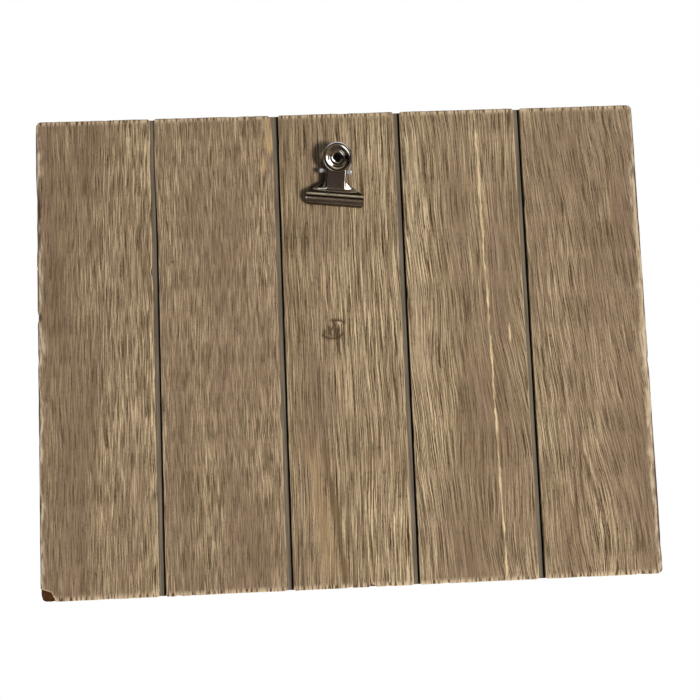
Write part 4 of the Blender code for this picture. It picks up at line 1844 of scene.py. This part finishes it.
    def pin(self) -> bpy.types.Object:
        """The hinge pin, with both ends staked wider than its bore.

        Returns:
            The pin.
        """
        half, stake = self.pin_length / 2, self.pin_length / 2 - self.stake_length
        profile = [(0.0, half), (self.stake_end_radius, half),
                   (self.stake_radius, half - self.stake_end_bevel),
                   (self.stake_radius, stake + self.stake_root), (self.pin_radius, stake)]
        profile.extend([(radius, -height) for radius, height in reversed(profile)])
        shape = lathe(profile, self.pin_steps)
        bmesh.ops.rotate(shape, verts=shape.verts, matrix=Matrix.Rotation(math.pi / 2, 3, "Y"))
        place = self.hinge() @ Matrix.Translation((self.pin_shift, 0.0, 0.0))
        return self.dressed(solid("clip_hinge_pin_zinc", shape, place, self.sharp), "clip_hinge_pin",
                            Body.CLIP_BASE, Slot.ZINC)

    def spring(self) -> bpy.types.Object:
        """The torsion spring: one wire from the rear leg through its curls to the front leg.

        Returns:
            The spring, which winds between the two levers.
        """
        seat = self.pin_offset - self.sheet / 2 - self.clearance - self.wire_radius
        leg, leg_angle = math.hypot(self.spring_leg, seat), math.atan2(seat, self.spring_leg)
        touch = leg_angle + math.acos(self.spring_radius / leg)
        first, last = -touch, self.spread + touch - 2 * math.pi * self.spring_turns
        count = self.curl_steps * self.spring_turns
        route = [(-self.spring_half, leg * math.cos(leg_angle), -leg * math.sin(leg_angle))]
        for index in range(count + 1):
            angle = first + (last - first) * index / count
            across = self.spring_half * (2 * index / count - 1)
            route.append((across, self.spring_radius * math.cos(angle), self.spring_radius * math.sin(angle)))
        tip = self.spread + leg_angle
        route.append((self.spring_half, leg * math.cos(tip), leg * math.sin(tip)))
        curve = bpy.data.curves.new("clip_spring_route", "CURVE")
        curve.dimensions = "3D"
        curve.bevel_depth = self.wire_radius
        curve.bevel_resolution = 3
        curve.use_fill_caps = True
        spline = curve.splines.new("POLY")
        spline.points.add(len(route) - 1)
        for point, place in zip(spline.points, route):
            point.co = (*place, 1.0)
        line = bpy.data.objects.new("clip_spring_route", curve)
        bpy.context.scene.collection.objects.link(line)
        wire = piece("clip_spring_wire", baked(line, self.hinge(), self.sharp))
        bpy.data.objects.remove(line)
        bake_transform(wire)
        return self.dressed(wire, "clip_spring", None, Slot.SPRING)

    def screw(self) -> bpy.types.Object:
        """The pan-head screw that holds the rear disc.

        Returns:
            The screw.
        """
        seat = self.clearance + self.disc_depth + self.sheet + self.clearance
        top, tip = seat + self.screw_height, seat - self.screw_length
        middle = (self.screw_head - self.screw_crown, top - self.screw_crown)
        crown = arc(middle, self.screw_crown, math.pi / 2, 0.0, self.shoulder_steps)
        profile = [(0.0, top), *crown, (self.screw_head, seat), (self.screw_shank, seat),
                   (self.screw_shank, tip + self.screw_shank * 2), (0.0, tip)]
        screw = solid("clip_screw_black", lathe(profile, self.screw_steps), self.swivel(), self.sharp)
        return self.dressed(screw, "clip_screw", Body.BOARD, Slot.BLACK)

    def build(self) -> list[bpy.types.Object]:
        """Builds every piece of the clip.

        Returns:
            The pieces.
        """
        metals = {Slot.NICKEL: NICKEL, Slot.SPRING: SPRING_STEEL, Slot.BLACK: BLACK_STEEL, Slot.ZINC: ZINC}
        self.finishes = {slot: metal.material(self.effects) for slot, metal in metals.items()}
        rear_neck = self.neck_width - 2 * (self.sheet + self.clearance)
        over, out = Matrix.Rotation(math.pi, 4, "Y"), Matrix.Rotation(self.spread, 4, "X")
        rear = self.lever("clip_rear_lever", rear_neck, self.disc_collar, over, Body.CLIP_BASE)
        front = self.lever("clip_front_lever", self.neck_width, -self.disc_dimple, out, Body.CLIP_FRONT)
        return [rear, front, self.pin(), self.spring(), self.screw()]


@dataclass
class SawtoothHanger:
    """The hanger and its two nails, shown as their CAD nodes."""

    finish: bpy.types.Material
    nodes: tuple[str, ...] = ("sawtooth_hanger", "hanger_nail_left", "hanger_nail_right")

    def dress(self) -> list[bpy.types.Object]:
        """Gives the hanger and its nails their material.

        Returns:
            The pieces.
        """
        made = []
        for node in self.nodes:
            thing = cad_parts[node]
            thing.data.materials.clear()
            thing.data.materials.append(self.finish)
            made.append(thing)
        return made


@dataclass(frozen=True)
class Lamp:
    """A round soft light that shines at the board's hanging point."""

    name: str
    towards: Triple
    size: float
    power: float
    distance: float = 2.5
    colour: Colour = (1.0, 0.985, 0.96)

    def build(self) -> None:
        """Adds the light."""
        data = bpy.data.lights.new(self.name, "AREA")
        data.shape = "DISK"
        data.size = self.size
        data.energy = self.power
        data.color = self.colour
        light = bpy.data.objects.new(self.name, data)
        bpy.context.scene.collection.objects.link(light)
        towards = Vector(self.towards).normalized()
        light.location = towards * self.distance
        light.rotation_euler = towards.to_track_quat("Z", "Y").to_euler()
        light.visible_glossy = False


@dataclass
class Studio:
    """White surroundings, two lamps, the camera at the photo's angle and a tent of painted reflections for
    the metal to mirror.

    The tent's levels of painted reflection, its glowing window patch at the right and its glowing lantern
    patch at the lower left, both painted highlights, are in shares of its radius.
    Each level holds where it starts, where it is reached and its colour.
    """

    eye: Triple = (-0.00755, -0.38112, -0.13169)
    yaw: float = math.radians(1.51)
    pitch: float = math.radians(3.78)
    roll: float = math.radians(2.29)
    lens: float = 36.0
    sensor: float = 36.0
    nearest: float = 0.01
    lamps: tuple[Lamp, ...] = (
        Lamp("key", towards=(0.42, -1.0, -0.40), size=0.42, power=59.4),
        Lamp("back", towards=(-0.40, 1.0, 0.35), size=0.60, power=50.0),
    )
    ambient: float = 0.10
    floor_drop: float = 1.35
    floor_size: float = 3.0
    floor_grey: float = 0.9
    floor_roughness: float = 0.9
    floor_cells: int = 12
    floor_fade: Point = (0.25, 0.9)
    floor_glow: Point = (0.4, 1.0)
    tent_radius: float = 3.4
    tent_back: float = 0.3
    # Painted reflections: bands of colour by height that the metal mirrors.
    tent_levels: tuple[tuple[float, float, Colour], ...] = (
        (-1.0, -1.0, tone(98, 86, 78)),
        (-0.76, -0.70, tone(138, 122, 94)),
        (-0.49, -0.46, tone(84, 69, 62)),
        (-0.32, -0.28, tone(10, 8, 7)),
        (0.0, 0.05, tone(136, 123, 104)),
        (0.22, 0.27, tone(222, 211, 190)),
        (0.48, 0.52, tone(48, 41, 32)),
    )
    tent_left: float = 0.30
    tent_dimming: Point = (-0.55, 0.15)
    tent_rings: int = 24
    tent_steps: int = 48
    # Painted highlights: a glowing window patch at the right and a glowing lantern patch at the lower left,
    # seen only in reflections.
    window_side: Point = (0.42, 0.54)
    window_end: Point = (0.84, 0.74)
    window_foot: Point = (-0.42, -0.32)
    window_head: Point = (0.76, 0.66)
    window_glint_strength: float = 5.0
    lantern_glint: Point = (-0.34, -0.56)
    lantern_edge: Point = (0.21, 0.14)
    lantern_glint_strength: float = 2.0

    def camera(self) -> None:
        """Adds the camera."""
        data = bpy.data.cameras.new("camera")
        data.sensor_fit = "HORIZONTAL"
        data.sensor_width = self.sensor
        data.lens = self.lens
        data.clip_start = self.nearest
        camera = bpy.data.objects.new("camera", data)
        bpy.context.scene.collection.objects.link(camera)
        turned = (Matrix.Rotation(-self.yaw, 4, "Z") @ Matrix.Rotation(math.pi / 2 + self.pitch, 4, "X")
                  @ Matrix.Rotation(-self.roll, 4, "Z"))
        camera.matrix_world = Matrix.Translation(self.eye) @ turned
        bpy.context.scene.camera = camera

    def surroundings(self) -> None:
        """Makes the world white to the eye and to reflections, and a plain soft light to the board."""
        world = bpy.data.worlds.new("studio")
        world.use_nodes = True
        bpy.context.scene.world = world
        bench = Bench(world.node_tree)
        back = world.node_tree.nodes["Background"]
        rays = bench.node("ShaderNodeLightPath").outputs
        seen = bench.largest(rays["Is Camera Ray"], rays["Is Glossy Ray"], rays["Is Transmission Ray"])
        back.inputs["Color"].default_value = (1.0, 1.0, 1.0, 1.0)
        bench.feed(back.inputs["Strength"], bench.gained(seen, 1.0 - self.ambient, self.ambient))

    def floor(self) -> None:
        """Adds the pale floor below the hung board, white far from it."""
        shape = bmesh.new()
        bmesh.ops.create_grid(shape, x_segments=self.floor_cells, y_segments=self.floor_cells,
                              size=self.floor_size / 2)
        floor = solid("floor", shape, Matrix.Translation((0.0, 0.0, -self.floor_drop)), math.pi)
        material, bench, shader = blank_material("floor_white")
        bench.feed(shader.inputs["Base Color"], (self.floor_grey,) * 3)
        shader.inputs["Roughness"].default_value = self.floor_roughness
        shader.inputs["Specular IOR Level"].default_value = 0.0
        glow = bench.node("ShaderNodeEmission")
        rays = bench.node("ShaderNodeLightPath").outputs
        seen = bench.largest(rays["Is Camera Ray"], rays["Is Glossy Ray"])
        away = bench.node("ShaderNodeVectorMath", operation="LENGTH")
        flat = bench.vector("MULTIPLY", bench.coordinate("Object"), (1.0, 1.0, 0.0))
        bench.feed(away.inputs[0], flat)
        fade = bench.ramp(away.outputs["Value"], *self.floor_fade, *self.floor_glow)
        both = bench.node("ShaderNodeMixShader")
        for socket, value in zip(both.inputs, (bench.times(seen, fade), shader.outputs[0], glow.outputs[0])):
            bench.feed(socket, value)
        bench.feed(material.node_tree.nodes["Material Output"].inputs["Surface"], both.outputs[0])
        floor.data.materials.append(material)
        floor.visible_glossy = False

    def tent(self) -> None:
        """Adds the tent in front of the board, whose dark bands and glowing patches are painted reflections
        and highlights that the metal mirrors; only reflections see it.
        """
        reach = math.acos(self.tent_back / self.tent_radius)
        profile = arc((0.0, 0.0), self.tent_radius, math.pi / 2, -math.pi / 2 + reach, self.tent_rings)
        profile[0] = (0.0, self.tent_radius)
        forward = Matrix.Rotation(math.pi / 2, 4, "X")
        tent = solid("painted_reflection_tent", lathe(profile, self.tent_steps), forward, math.pi)
        material, bench, _ = blank_material("painted_reflection_tent")
        apart = bench.apart(bench.coordinate("Object"))
        level, side = (bench.math("DIVIDE", apart[axis], self.tent_radius) for axis in "ZX")
        colour: Value = self.tent_levels[0][2]
        for low, high, shade in self.tent_levels[1:]:
            colour = bench.mix(bench.ramp(level, low, high), colour, shade)
        # Painted shade: the reflections darken towards the left.
        colour = bench.mix(bench.ramp(side, *self.tent_dimming, self.tent_left, 1.0), (0.0, 0.0, 0.0), colour)
        window_glint = bench.times(bench.ramp(level, *self.window_foot), bench.ramp(level, *self.window_head),
                             bench.ramp(side, *self.window_side), bench.ramp(side, *self.window_end))
        away, above = (bench.math("POWER", bench.math("SUBTRACT", place, middle), 2.0)
                       for place, middle in zip((side, level), self.lantern_glint))
        lantern_glint = bench.ramp(bench.math("SQRT", bench.math("ADD", away, above)), *self.lantern_edge)
        # The window and lantern patches glow as painted highlights.
        glow = bench.node("ShaderNodeEmission")
        bench.feed(glow.inputs["Color"], bench.mix(bench.largest(window_glint, lantern_glint), colour, (1.0, 1.0, 1.0)))
        strength = bench.gained(window_glint, self.window_glint_strength - 1.0, 1.0)
        strength = bench.gained(lantern_glint, self.lantern_glint_strength - 1.0, strength)
        bench.feed(glow.inputs["Strength"], strength)
        bench.feed(material.node_tree.nodes["Material Output"].inputs["Surface"], glow.outputs[0])
        tent.data.materials.append(material)
        tent.visible_camera = False
        tent.visible_diffuse = False
        tent.visible_shadow = False
        tent.visible_transmission = False

    def build(self) -> None:
        """Builds the whole studio."""
        settings = bpy.context.scene.view_settings
        settings.view_transform = "Standard"
        self.camera()
        for lamp in self.lamps:
            lamp.build()
        self.surroundings()
        self.floor()
        self.tent()


def main() -> None:
    """Builds and dresses the frame, piece by piece."""
    logging.basicConfig(level=logging.INFO, format="%(message)s")
    effects = Effects()
    made = SlatDeck(effects).build()
    made.append(BackingPanel(effects).dress())
    clip = BulldogClip(effects)
    made.extend(clip.build())
    made.extend(SawtoothHanger(clip.finishes[Slot.ZINC]).dress())
    for thing in made:
        LOG.info("%s: %d points", thing.name, len(thing.data.vertices))
    Studio().build()


if __name__ == "__main__":
    main()
